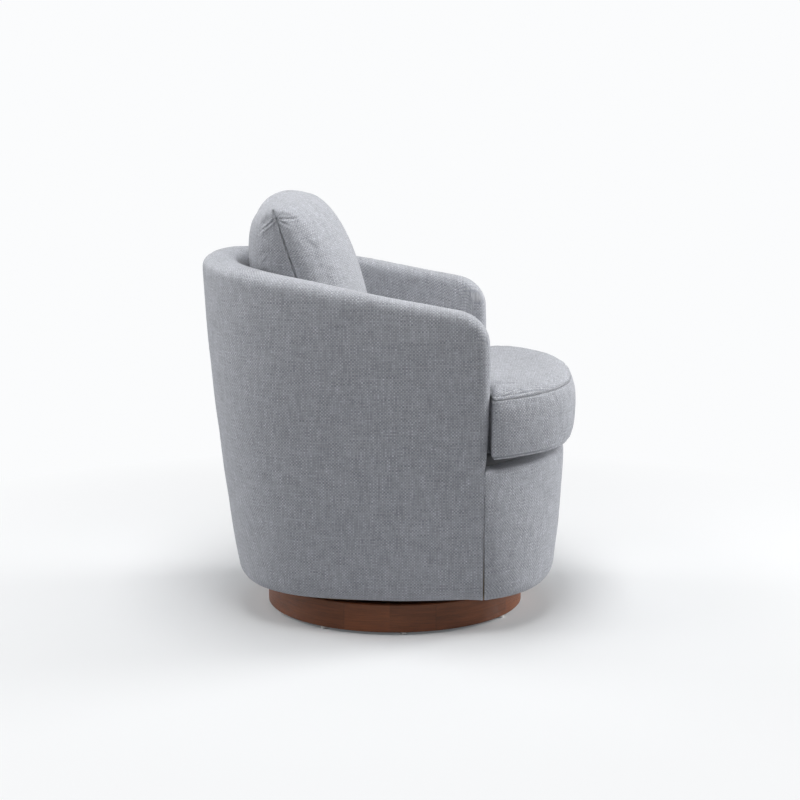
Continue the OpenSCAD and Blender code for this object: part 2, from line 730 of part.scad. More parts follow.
// The cushion's upper surface at ring f of the crown, inwards of point p of the seam
function crown_point(p, f) =
    let (
        q = cushion_middle + f * ([p[0], p[1]] - cushion_middle),
        puff = 1 - exp(-norm([p[0], p[1]] - q) / crown_puff_reach))
    [q[0], q[1], seam_z + seam_lift(p) * f * f
        + crown_h * ((1 - crown_puff_share) * crown_rise(q) + crown_puff_share * puff)];

module seat_cushion() {
    top = cushion_outline(flare_w);
    color("#c1c4cb")
    loft(concat(
        [for (k = [0:6]) let (f = boxing_up_shares[k])
            [for (p = bulged(cushion_outline(flare_w * f), boxing_bulge * boxing_out_shares[k]))
                [p[0], p[1], cushion_low + (boxing_h + seam_lift(p)) * f]]],
        [for (f = crown_in_shares) [for (p = top) crown_point(p, f)]]), cushion_middle);
}

// A zip along the middle of the cushion's back boxing
zip_reach_share = 0.2;
zip_h = 22;
zip_t = 1.2;
zip_steps = 8;
module seat_zip() {
    z = cushion_low + boxing_h / 2;
    row = function (out) [for (j = [-zip_steps:zip_steps]) [for (h = [-0.5, 0.5])
        let (p = tub(zip_reach_share * j / zip_steps, cushion_low,
            wall + side_gap - flare_w / 2 - arm_bulge_share * boxing_bulge - out - soft_gap))
        [p[0], p[1], z + h * zip_h]]];
    color("#6e7076") sheet(row(soft_gap + zip_t), row(soft_gap));
}

// BACK PILLOW

pillow_rows = 28;
pillow_cols = 9;
pillow_power = 2.4;
// The pillow's back and front halves: how each thins towards the top, and how squarely it rounds
pillow_thin_shares = [0.035, 0.07];
pillow_round_powers = [1.9, 2.58];
// Share of the thickness that lies behind the pillow's middle plane
pillow_back_share = 0.478;
// Thickness and height left at the pillow's side seams
pillow_edge_share = 0.06;
pillow_side_share = 0.86;
pillow_end_powers = [2.6, 0.45];
pillow_side_powers = [2.2, 0.6];
// Width and middle of the pillow, and how far its lowest line lies below the top of the cushion's crown
pillow_w = rim_width - 2 * wall - 2 * pillow_side_gap;
pillow_y = rim_back - wall - pillow_back_share * pillow_t - pillow_back_gap;
pillow_sink = 1;
pillow_z = seam_z + crown_h + pillow_h / 2 - pillow_sink;
// From the pillow's middle plane to its surface at height share up, behind it (half 0) or before it (half 1)
function pillow_out(up, half) =
    pillow_t * (half == 0 ? pillow_back_share : pillow_back_share - 1) * (1 - pillow_thin_shares[half] * up)
    * pow(max(0, 1 - pow(abs(up), pillow_round_powers[half])), 1 / pillow_round_powers[half]);
function pillow_loop(u) =
    let (
        e = pow(1 - pow(abs(u), pillow_end_powers[0]), pillow_end_powers[1]),
        t = pillow_edge_share + (1 - pillow_edge_share) * e,
        h = pillow_side_share + (1 - pillow_side_share) * pow(1 - pow(abs(u), pillow_side_powers[0]), pillow_side_powers[1]))
    [for (k = [0:pillow_rows - 1]) let (
        a = 360 * k / pillow_rows, s = sin(a),
        up = sign(s) * pow(abs(s), 2 / pillow_power),
        z = up * pillow_h / 2 * h)
        [u * pillow_w / 2, pillow_y + pillow_out(up, cos(a) > 0 ? 0 : 1) * t + z * tan(pillow_lean), pillow_z + z]];

module back_pillow() {
    color("#c7c9cf")
    loft([for (i = [-pillow_cols:pillow_cols]) pillow_loop(sin(90 * i / pillow_cols))]);
}

// A zip along the pillow's bottom seam
pillow_zip_l_share = 0.5;
module pillow_zip() {
    z = pillow_z - pillow_h / 2;
    y = pillow_y - pillow_h / 2 * tan(pillow_lean);
    color("#6e7076") translate([-pillow_w * pillow_zip_l_share / 2, y - zip_h / 4, z - zip_t - soft_gap])
        cube([pillow_w * pillow_zip_l_share, zip_h / 2, zip_t]);
}

plinth_ring();
plinth_deck();
glide(1);  // glide_1
glide(2);  // glide_2
glide(3);  // glide_3
glide(4);  // glide_4
glide(5);  // glide_5
glide(6);  // glide_6
glide(7);  // glide_7
glide(8);  // glide_8
swivel_lower_plate();
swivel_ball_ring();
swivel_pivot();
lower_screws();
swivel_upper_plate();
upper_bolts();
tee_nuts();
bottom_board();
dust_cover();
front_post(1);  // front_post_left
front_post(-1);  // front_post_right
rib_at(straight_share, 1);  // side_rib_left
rib_at(straight_share, -1);  // side_rib_right
rib_at(seam_share, 1);  // corner_rib_left
rib_at(seam_share, -1);  // corner_rib_right
rib_at(back_rib_share, 1);  // back_rib_left
rib_at(back_rib_share, -1);  // back_rib_right
front_board();
front_cleat();
seat_rail();
top_rail();
webbing_long();
webbing_cross();
deck_pad();
outer_back();
outer_side(1);  // outer_side_left
outer_side(-1);  // outer_side_right
front_panel();
inner_back();
inner_side(1);  // inner_side_left
inner_side(-1);  // inner_side_right
rim_back_roll();
rim_side_roll(1);  // rim_left_roll
rim_side_roll(-1);  // rim_right_roll
arm_front(1);  // arm_front_left
arm_front(-1);  // arm_front_right
seat_cushion();
seat_zip();
back_pillow();
pillow_zip();
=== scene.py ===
"""Looks of a swivel barrel chair: upholstered tub, loose cushion and pillow, walnut plinth and studio."""

import logging
import math
from dataclasses import dataclass
from enum import Enum
from typing import Callable, Optional, Sequence, Union

import bpy
import numpy as np
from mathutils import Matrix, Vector
from mathutils.kdtree import KDTree


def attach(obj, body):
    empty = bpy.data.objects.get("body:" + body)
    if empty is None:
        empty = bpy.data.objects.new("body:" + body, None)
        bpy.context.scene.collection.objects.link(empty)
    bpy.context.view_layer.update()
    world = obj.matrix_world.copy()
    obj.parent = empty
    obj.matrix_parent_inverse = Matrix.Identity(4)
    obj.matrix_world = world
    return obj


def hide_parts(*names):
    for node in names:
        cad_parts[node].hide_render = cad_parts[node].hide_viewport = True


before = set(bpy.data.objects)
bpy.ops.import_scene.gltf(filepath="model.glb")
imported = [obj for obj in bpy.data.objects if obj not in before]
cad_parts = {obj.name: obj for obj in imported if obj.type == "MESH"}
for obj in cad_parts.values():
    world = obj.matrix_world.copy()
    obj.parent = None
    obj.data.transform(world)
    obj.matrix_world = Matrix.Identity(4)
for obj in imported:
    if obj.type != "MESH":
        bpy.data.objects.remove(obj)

LOG = logging.getLogger("barrel_chair")
MM = 0.001
WEAVE_MAP = "weave"
DIP = "dip"
WELD = 0.06 * MM

Number = Union[int, float]
Operand = Union["Wire", Number]
Array = np.ndarray
Triple = tuple[float, float, float]
Settings = Optional[dict]


class Body(Enum):
    """The bodies that the chair's pieces ride on."""

    BASE = "base"
    CHAIR = "chair"
    SEAT = "seat"
    PILLOW = "pillow"


class Side(Enum):
    """The sitter's left or right side of the tub, by the sign of X."""

    LEFT = 1
    RIGHT = -1

    @property
    def word(self) -> str:
        """The side's name in the names of nodes and pieces."""
        return self.name.lower()


class Wire:
    """A value that runs between shader nodes, with arithmetic on it."""

    def __init__(self, shop: "NodeShop", socket: bpy.types.NodeSocket) -> None:
        """Keeps the socket and the shop that makes nodes beside it."""
        self.shop = shop
        self.socket = socket

    def _with(self, operation: str, *values: Operand) -> "Wire":
        """A Math node's result on the given values."""
        node = self.shop.node("Math", {"operation": operation}, dict(enumerate(values)))
        return Wire(self.shop, node.outputs[0])

    def __add__(self, other: Operand) -> "Wire":
        """self + other."""
        return self._with("ADD", self, other)

    __radd__ = __add__

    def __sub__(self, other: Operand) -> "Wire":
        """self - other."""
        return self._with("SUBTRACT", self, other)

    def __rsub__(self, other: Operand) -> "Wire":
        """other - self."""
        return self._with("SUBTRACT", other, self)

    def __mul__(self, other: Operand) -> "Wire":
        """self * other."""
        return self._with("MULTIPLY", self, other)

    __rmul__ = __mul__

    def __truediv__(self, other: Operand) -> "Wire":
        """self / other."""
        return self._with("DIVIDE", self, other)

    def __mod__(self, other: Operand) -> "Wire":
        """self, wrapped round into 0 to other."""
        return self._with("FLOORED_MODULO", self, other)

    def floor(self) -> "Wire":
        """The next whole number below."""
        return self._with("FLOOR", self)

    def absolute(self) -> "Wire":
        """The value without its sign."""
        return self._with("ABSOLUTE", self)

    def sine(self) -> "Wire":
        """The sine of the value in radians."""
        return self._with("SINE", self)

    def larger(self, other: Operand) -> "Wire":
        """The larger of self and other."""
        return self._with("MAXIMUM", self, other)

    def over(self, other: Operand) -> "Wire":
        """1 where the value is above other, and 0 elsewhere."""
        return self._with("GREATER_THAN", self, other)

    def clamped(self) -> "Wire":
        """The value held between 0 and 1."""
        return self._with("MINIMUM", self.larger(0.0), 1.0)


class NodeShop:
    """Builds the node tree of one material, or of the world."""

    def __init__(self, owner: Union[bpy.types.Material, bpy.types.World]) -> None:
        """Starts the owner's tree empty."""
        self.owner = owner
        owner.use_nodes = True
        self.tree = owner.node_tree
        self.tree.nodes.clear()

    @classmethod
    def of(cls, name: str) -> "NodeShop":
        """The shop of a new material."""
        return cls(bpy.data.materials.new(name))

    def node(self, kind: str, settings: Settings = None, inputs: Settings = None) -> bpy.types.Node:
        """Makes a node.

        Args:
            kind: the node's type name, without its common first part.
            settings: properties that are set first.
            inputs: values, wires or nodes, by socket name or number; a node gives its first output.

        Returns:
            The node.
        """
        node = self.tree.nodes.new(f"ShaderNode{kind}")
        for key, value in (settings or {}).items():
            setattr(node, key, value)
        for key, value in (inputs or {}).items():
            socket = node.inputs[key]
            if isinstance(value, Wire):
                self.tree.links.new(value.socket, socket)
            elif isinstance(value, bpy.types.Node):
                self.tree.links.new(value.outputs[0], socket)
            elif isinstance(value, tuple) and socket.type == "RGBA":
                socket.default_value = (*value, 1.0)
            else:
                socket.default_value = value
        return node

    def wire(self, node: bpy.types.Node, output: Union[str, int] = 0) -> Wire:
        """A node's output as a wire."""
        return Wire(self, node.outputs[output])

    def noise(self, vector: Wire, scale: float, detail: float = 2.0, roughness: float = 0.5) -> Wire:
        """Fractal noise from 0 to 1.

        Args:
            vector: where to read it.
            scale: cells per unit.
            detail: octaves.
            roughness: share of each further octave.

        Returns:
            The noise's value.
        """
        node = self.node(
            "TexNoise",
            {"noise_dimensions": "3D", "normalize": True},
            {"Vector": vector, "Scale": scale, "Detail": detail, "Roughness": roughness},
        )
        return self.wire(node, "Fac" if "Fac" in node.outputs else 0)

    def vector(self, x: Operand, y: Operand, z: Operand) -> Wire:
        """Three values as one vector."""
        return self.wire(self.node("CombineXYZ", None, {"X": x, "Y": y, "Z": z}))

    def split(self, vector: Wire) -> tuple[Wire, Wire, Wire]:
        """A vector's three values."""
        node = self.node("SeparateXYZ", None, {"Vector": vector})
        return self.wire(node, 0), self.wire(node, 1), self.wire(node, 2)

    def mix(self, factor: Operand, low: object, high: object) -> Wire:
        """A colour between low, at factor 0, and high, at factor 1."""
        node = self.node("Mix", {"data_type": "RGBA"}, {0: factor, 6: low, 7: high})
        return self.wire(node, 2)

    def tint(self, colour: Union[Wire, Triple], level: Wire) -> Wire:
        """A colour, brightened or darkened by a level about 1."""
        grey = self.vector(level, level, level)
        return self.wire(self.node("VectorMath", {"operation": "MULTIPLY"}, {0: grey, 1: colour}))

    def place(self) -> tuple[Wire, Wire, Wire]:
        """The point's three coordinates in the object's own space, in metres."""
        return self.split(self.wire(self.node("TexCoord"), "Object"))

    def from_axis(self, x: Wire, y: Wire) -> Wire:
        """How far a point lies from the swivel's axis."""
        node = self.node("VectorMath", {"operation": "LENGTH"}, {0: self.vector(x, y, 0.0)})
        return self.wire(node, "Value")

    def weave_place(self) -> tuple[Wire, Wire]:
        """The point along the cloth, in metres along its weft and its warp."""
        across, along, _ = self.split(self.wire(self.node("UVMap", {"uv_map": WEAVE_MAP})))
        return across, along

    def finish(
        self, settings: dict, base: Wire, roughness: Operand, height: Wire, relief: float
    ) -> bpy.types.Material:
        """Closes the material with one Principled shader.

        Args:
            settings: constants for the shader's own sockets.
            base: the base colour.
            roughness: a number or a wire.
            height: the relief's height from 0 to 1.
            relief: that height's depth in metres.

        Returns:
            The material.
        """
        bump = self.node("Bump", None, {"Strength": 1.0, "Distance": relief, "Height": height})
        inputs = {"Base Color": base, "Roughness": roughness, "Normal": bump, **settings}
        return self.close(self.node("BsdfPrincipled", None, inputs))

    def close(self, shader: bpy.types.Node) -> bpy.types.ID:
        """Ends the tree in its output and returns its owner."""
        kind = "OutputWorld" if isinstance(self.owner, bpy.types.World) else "OutputMaterial"
        self.node(kind, None, {"Surface": shader})
        return self.owner


@dataclass(frozen=True)
class LinenFinish:
    """A linen-look upholstery cloth: thick two-tone threads in a plain weave, with slubs and flecks, and
    painted shade where each thread rounds down into the gaps beside it.
    """

    name: str
    warp_colour: Triple = (0.432, 0.440, 0.465)
    weft_colour: Triple = (0.323, 0.336, 0.372)
    pitch: float = 3.1 * MM
    slub_length: float = 30 * MM
    slub_depth: float = 0.52
    # Painted shade: how much darker each thread's colour gets where it rounds down towards the gaps
    gap_painted_shade: float = 0.43
    mean_rounding: float = 0.66
    fleck: float = 0.30
    fleck_from: float = 0.62
    mottle: float = 0.11
    mottle_size: float = 26 * MM
    relief: float = 0.5 * MM
    roughness: float = 0.92

    def build(self) -> bpy.types.Material:
        """Builds the cloth's material.

        Returns:
            The material, whose pattern follows the weave map.
        """
        shop = NodeShop.of(self.name)
        across, along = shop.weave_place()
        u, v = across / self.pitch, along / self.pitch
        warp, weft = u.floor(), v.floor()
        side_u, side_v = (u - warp) * 2 - 1, (v - weft) * 2 - 1
        on_top = (warp + weft) % 2
        warp_slub = shop.noise(shop.vector(warp * 7.31, along / self.slub_length, 3.0), 1.0, 1.0)
        weft_slub = shop.noise(shop.vector(across / self.slub_length, weft * 7.31, 11.0), 1.0, 1.0)
        slub = on_top * warp_slub + (1 - on_top) * weft_slub
        rounding = on_top * (1 - side_u * side_u) + (1 - on_top) * (1 - side_v * side_v)
        speck = shop.noise(shop.vector(warp * 3.17, weft * 2.71, 5.0), 1.0, 0.0)
        cloudy = shop.noise(shop.vector(across, along, 0.5), 1 / self.mottle_size, 3.0, 0.6)
        level = (
            1
            + (slub - 0.5) * (2 * self.slub_depth)
            # Painted shade in the weave: the thread's edges, where it rounds down into the gaps, are
            # darkened in the colour
            + (rounding - self.mean_rounding) * self.gap_painted_shade
            + (speck - self.fleck_from).clamped() * (self.fleck * 4)
            + (cloudy - 0.5) * self.mottle
        )
        height = rounding * (0.6 + 0.4 * slub)
        thread = shop.mix(on_top, self.weft_colour, self.warp_colour)
        sheen = {"Sheen Weight": 0.12, "Sheen Roughness": 0.45, "Specular IOR Level": 0.25}
        return shop.finish(sheen, shop.tint(thread, level), self.roughness, height, self.relief)


@dataclass(frozen=True)
class WalnutFinish:
    """Satin walnut veneer whose grain runs round the swivel axis, in butted lengths."""

    name: str
    dark: Triple = (0.092, 0.031, 0.012)
    light: Triple = (0.285, 0.093, 0.034)
    deep: Triple = (0.030, 0.014, 0.009)
    radius: float = 247 * MM
    lengths: int = 9
    joint_width: float = 0.35 * MM
    roughness: float = 0.42
    relief: float = 0.12 * MM

    def build(self) -> bpy.types.Material:
        """Builds the veneer's material.

        Returns:
            The material, whose grain follows the place round the axis.
        """
        shop = NodeShop.of(self.name)
        x, y, z = shop.place()
        turn = shop.wire(shop.node("Math", {"operation": "ARCTAN2"}, {0: y, 1: x}))
        part = turn * (self.lengths / math.tau)
        board = part.floor()
        round_way = turn * self.radius
        rise = z + (shop.from_axis(x, y) - self.radius) * 0.6
        wave = shop.noise(shop.vector(round_way * 9, rise * 40, board * 3.7), 1.0, 2.0)
        wavy = rise * 420 + wave * 5
        grain = shop.noise(shop.vector(round_way * 14, wavy, board * 9.1), 1.0, 4.0, 0.62)
        fine = shop.noise(shop.vector(round_way * 60, rise * 2600, board * 5.3), 1.0, 2.0)
        pores = shop.noise(shop.vector(round_way * 130, rise * 3800, board * 2.1), 1.0, 1.0)
        shade = shop.noise(shop.vector(board * 5.17, 0.4, 0.9), 1.0, 0.0)
        tone = (grain * 1.1 + wave * 0.9 + fine * 0.45 + shade * 0.8 - 1.12).clamped()
        base = shop.mix(tone, self.dark, self.light)
        edge = 1 - self.joint_width * self.lengths / (math.pi * self.radius)
        joint = ((part - board) * 2 - 1).absolute().over(edge)
        pore = pores.over(0.62)
        base = shop.mix((pore * 0.35 + joint * 0.6).clamped(), base, self.deep)
        height = 1 - pore * 0.6 - joint * 0.8 + fine * 0.2
        gloss = {"Coat Weight": 0.1, "Coat Roughness": 0.25, "Specular IOR Level": 0.3}
        return shop.finish(gloss, base, self.roughness + (fine - 0.5) * 0.18, height, self.relief)


@dataclass(frozen=True)
class PlainFinish:
    """An even material with a little cloudiness and a fine relief: plastic, metal or black cloth."""

    name: str
    colour: Triple
    roughness: float
    metallic: float = 0.0
    cloud: float = 0.06
    grain: float = 2200.0
    relief: float = 0.04 * MM
    stretch: Triple = (1.0, 1.0, 1.0)

    def build(self) -> bpy.types.Material:
        """Builds the material.

        Returns:
            The material, whose cloudiness follows the place in the object.
        """
        shop = NodeShop.of(self.name)
        x, y, z = shop.place()
        where = shop.vector(x * self.stretch[0], y * self.stretch[1], z * self.stretch[2])
        cloudy = shop.noise(where, 55.0, 3.0)
        fine = shop.noise(where, self.grain, 2.0)
        base = shop.tint(self.colour, 1 + (cloudy - 0.5) * (2 * self.cloud) + (fine - 0.5) * self.cloud)
        rough = self.roughness + (cloudy - 0.5) * 0.16 + (fine - 0.5) * 0.1
        return shop.finish({"Metallic": self.metallic}, base, rough, fine, self.relief)


@dataclass(frozen=True)
class SawnWoodFinish:
    """Unfinished frame timber or plywood: pale, with grain along one axis and plies across Z if asked."""

    name: str
    colour: Triple = (0.55, 0.40, 0.235)
    along: Triple = (30.0, 30.0, 4.0)
    ply: float = 0.0

    def build(self) -> bpy.types.Material:
        """Builds the wood's material.

        Returns:
            The material, whose grain follows the place in the object.
        """
        shop = NodeShop.of(self.name)
        x, y, z = shop.place()
        where = shop.vector(x * self.along[0], y * self.along[1], z * self.along[2])
        grain, fibre = shop.noise(where, 6.0, 4.0, 0.6), shop.noise(where, 60.0, 2.0)
        level = 1 + (grain - 0.5) * 0.45 + (fibre - 0.5) * 0.2
        if self.ply:
            level = level - ((z / self.ply) % 2).over(1.0) * 0.16
        base = shop.tint(self.colour, level)
        return shop.finish({"Specular IOR Level": 0.3}, base, 0.72, fibre, 0.15 * MM)


@dataclass(frozen=True)
class WebbingFinish:
    """Woven elastic webbing: fine ribs across its length, with a stripe."""

    name: str
    colour: Triple = (0.035, 0.035, 0.042)

    def build(self) -> bpy.types.Material:
        """Builds the webbing's material.

        Returns:
            The material, whose ribs follow the place in the object.
        """
        shop = NodeShop.of(self.name)
        x, y, _ = shop.place()
        ribs = ((x + y) * (math.tau / (1.6 * MM))).sine() * 0.5 + 0.5
        cross = ((x - y) * (math.tau / (2.2 * MM))).sine() * 0.5 + 0.5
        level = 0.8 + ribs * 0.35 + cross * 0.25
        base = shop.tint(self.colour, level)
        return shop.finish({"Specular IOR Level": 0.3}, base, 0.85, ribs * cross, 0.3 * MM)


@dataclass(frozen=True)
class ZipFinish:
    """A closed coil zip along X: plain tape on both edges of a line of fine teeth."""

    name: str
    colour: Triple = (0.30, 0.305, 0.325)

    def build(self) -> bpy.types.Material:
        """Builds the zip's material.

        Returns:
            The material, whose teeth follow the place along X.
        """
        shop = NodeShop.of(self.name)
        x, y, z = shop.place()
        teeth = (x * (math.tau / (1.8 * MM))).sine() * 0.5 + 0.5
        tape = shop.noise(shop.vector(x, y, z), 1400.0, 2.0)
        level = 0.75 + teeth * 0.3 + tape * 0.25
        base = shop.tint(self.colour, level)
        return shop.finish({"Specular IOR Level": 0.4}, base, 0.6, teeth, 0.4 * MM)


class Bench:
    """Blender's own tools, each used on one object."""

    @staticmethod
    def only(obj: bpy.types.Object) -> None:
        """Makes an object the only selected one, and the active one."""
        bpy.ops.object.select_all(action="DESELECT")
        obj.select_set(True)
        bpy.context.view_layer.objects.active = obj

    @staticmethod
    def apply_all(obj: bpy.types.Object) -> None:
        """Applies every modifier of an object, in order."""
        Bench.only(obj)
        for modifier in list(obj.modifiers):
            bpy.ops.object.modifier_apply(modifier=modifier.name)

    @staticmethod
    def modify(obj: bpy.types.Object, kind: str, **settings: object) -> bpy.types.Modifier:
        """Adds a modifier.

        Args:
            obj: the object.
            kind: the modifier's type.
            settings: its properties.

        Returns:
            The modifier.
        """
        modifier = obj.modifiers.new(kind.title(), kind)
        for key, value in settings.items():
            setattr(modifier, key, value)
        return modifier

    @staticmethod
    def edit(obj: bpy.types.Object, work: Callable[[], None]) -> None:
        """Runs a step in edit mode with all of the object's mesh selected.

        Args:
            obj: the object.
            work: the step.
        """
        Bench.only(obj)
        bpy.ops.object.mode_set(mode="EDIT")
        bpy.ops.mesh.select_all(action="SELECT")
        work()
        bpy.ops.object.mode_set(mode="OBJECT")

    @staticmethod
    def smooth(obj: bpy.types.Object, angle: float = 180.0) -> None:
        """Shades an object smooth.

        Args:
            obj: the object.
            angle: edges sharper than this many degrees stay sharp.
        """
        Bench.only(obj)
        if angle >= 180.0:
            bpy.ops.object.shade_smooth()
        else:
            bpy.ops.object.shade_smooth_by_angle(angle=math.radians(angle))

    @staticmethod
    def points(obj: bpy.types.Object, what: str = "co") -> Array:
        """Reads a value of three numbers from each vertex.

        Args:
            obj: the object.
            what: the value's name: "co" for the place and "normal" for the normal.

        Returns:
            The values, one row each.
        """
        out = np.empty(len(obj.data.vertices) * 3)
        obj.data.vertices.foreach_get(what, out)
        return out.reshape(-1, 3)

    @staticmethod
    def press(obj: bpy.types.Object, depth: Array) -> None:
        """Moves each vertex into the surface by its depth, or out of it where that is negative."""
        Bench.move(obj, Bench.points(obj) - Bench.points(obj, "normal") * depth[:, None])

    @staticmethod
    def move(obj: bpy.types.Object, points: Array) -> None:
        """Puts an object's vertices at the given places."""
        obj.data.vertices.foreach_set("co", points.ravel())
        obj.data.update()

    @staticmethod
    def sheet(name: str, points: Array, weave: Array, dip: Optional[Array] = None) -> bpy.types.Object:
        """A grid of faces through a table of points.

        Args:
            name: the object's name.
            points: places, as rows by columns by 3.
            weave: places along the cloth, as rows by columns by 2, in metres.
            dip: how far each point later sinks into the surface, as rows by columns.

        Returns:
            The sheet's object.
        """
        rows, columns = points.shape[0] - 1, points.shape[1] - 1
        bpy.ops.object.select_all(action="DESELECT")
        bpy.ops.mesh.primitive_grid_add(x_subdivisions=columns, y_subdivisions=rows, size=2.0)
        obj = bpy.context.active_object
        obj.name = name
        start = Bench.points(obj)
        i = np.rint((start[:, 0] + 1) / 2 * columns).astype(int)
        j = np.rint((start[:, 1] + 1) / 2 * rows).astype(int)
        Bench.move(obj, points[j, i])
        mesh = obj.data
        corner = np.empty(len(mesh.loops), dtype=int)
        mesh.loops.foreach_get("vertex_index", corner)
        layer = mesh.uv_layers[0] if mesh.uv_layers else mesh.uv_layers.new()
        layer.name = WEAVE_MAP
        layer.data.foreach_set("uv", weave[j[corner], i[corner]].ravel())
        sink = mesh.attributes.new(DIP, "FLOAT", "POINT")
        sink.data.foreach_set("value", (np.zeros(len(i)) if dip is None else dip[j, i]).astype(float))
        return obj

    @staticmethod
    def joined(name: str, *sheets: tuple[Array, ...]) -> bpy.types.Object:
        """Makes sheets and welds them into one object.

        Args:
            name: the object's name.
            sheets: each one's points, its weave and, where seams sink it, its dip.

        Returns:
            The object.
        """
        parts = [Bench.sheet(name, *sheet) for sheet in sheets]
        Bench.only(parts[0])
        for part in parts:
            part.select_set(True)
        if len(parts) > 1:
            bpy.ops.object.join()
        obj = bpy.context.active_object
        obj.name = name
        obj.data.name = name
        Bench.edit(obj, lambda: bpy.ops.mesh.remove_doubles(threshold=WELD))
        return obj

    @staticmethod
    def sink(obj: bpy.types.Object) -> None:
        """Moves each vertex into the surface by the dip that its sheet gave it."""
        depth = np.empty(len(obj.data.vertices))
        obj.data.attributes[DIP].data.foreach_get("value", depth)
        Bench.press(obj, depth)

    @staticmethod
    def outwards(obj: bpy.types.Object) -> None:
        """Turns the faces of a closed mesh outwards."""
        Bench.edit(obj, lambda: bpy.ops.mesh.normals_make_consistent(inside=False))

    @staticmethod
    def dress(obj: bpy.types.Object, material: bpy.types.Material) -> None:
        """Gives every face of an object one material."""
        obj.data.materials.clear()
        obj.data.materials.append(material)


def cumulative(points: Array) -> Array:
    """Lengths along each row of points, from its first one, for a table of rows by columns by 3."""
    steps = np.linalg.norm(np.diff(points, axis=1), axis=2)
    return np.concatenate([np.zeros((len(points), 1)), np.cumsum(steps, axis=1)], axis=1)


def bow_places(count: int) -> Array:
    """Places from -1 to 1 that lie about evenly along a bow, closer together at its ends."""
    spread = math.radians(53)
    return np.sin(np.linspace(-1, 1, count) * spread) / math.sin(spread)


def hand_over(
    obj: bpy.types.Object,
    material: bpy.types.Material,
    body: Body,
    nodes: Sequence[str],
) -> bpy.types.Object:
    """Dresses a finished piece and tells the frame what it is.

    Args:
        obj: the piece.
        material: its finish.
        body: the body that it rides on.
        nodes: the plain solids that it stands for.

    Returns:
        The piece.
    """
    Bench.dress(obj, material)
    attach(obj, body.value)
    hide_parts(*nodes)
    return obj


def seam_dip(distance: Array, depth: float, reach: float) -> Array:
    """How far cloth sinks at a distance from a sewn seam."""
    return depth * np.exp(-np.abs(distance) / reach)


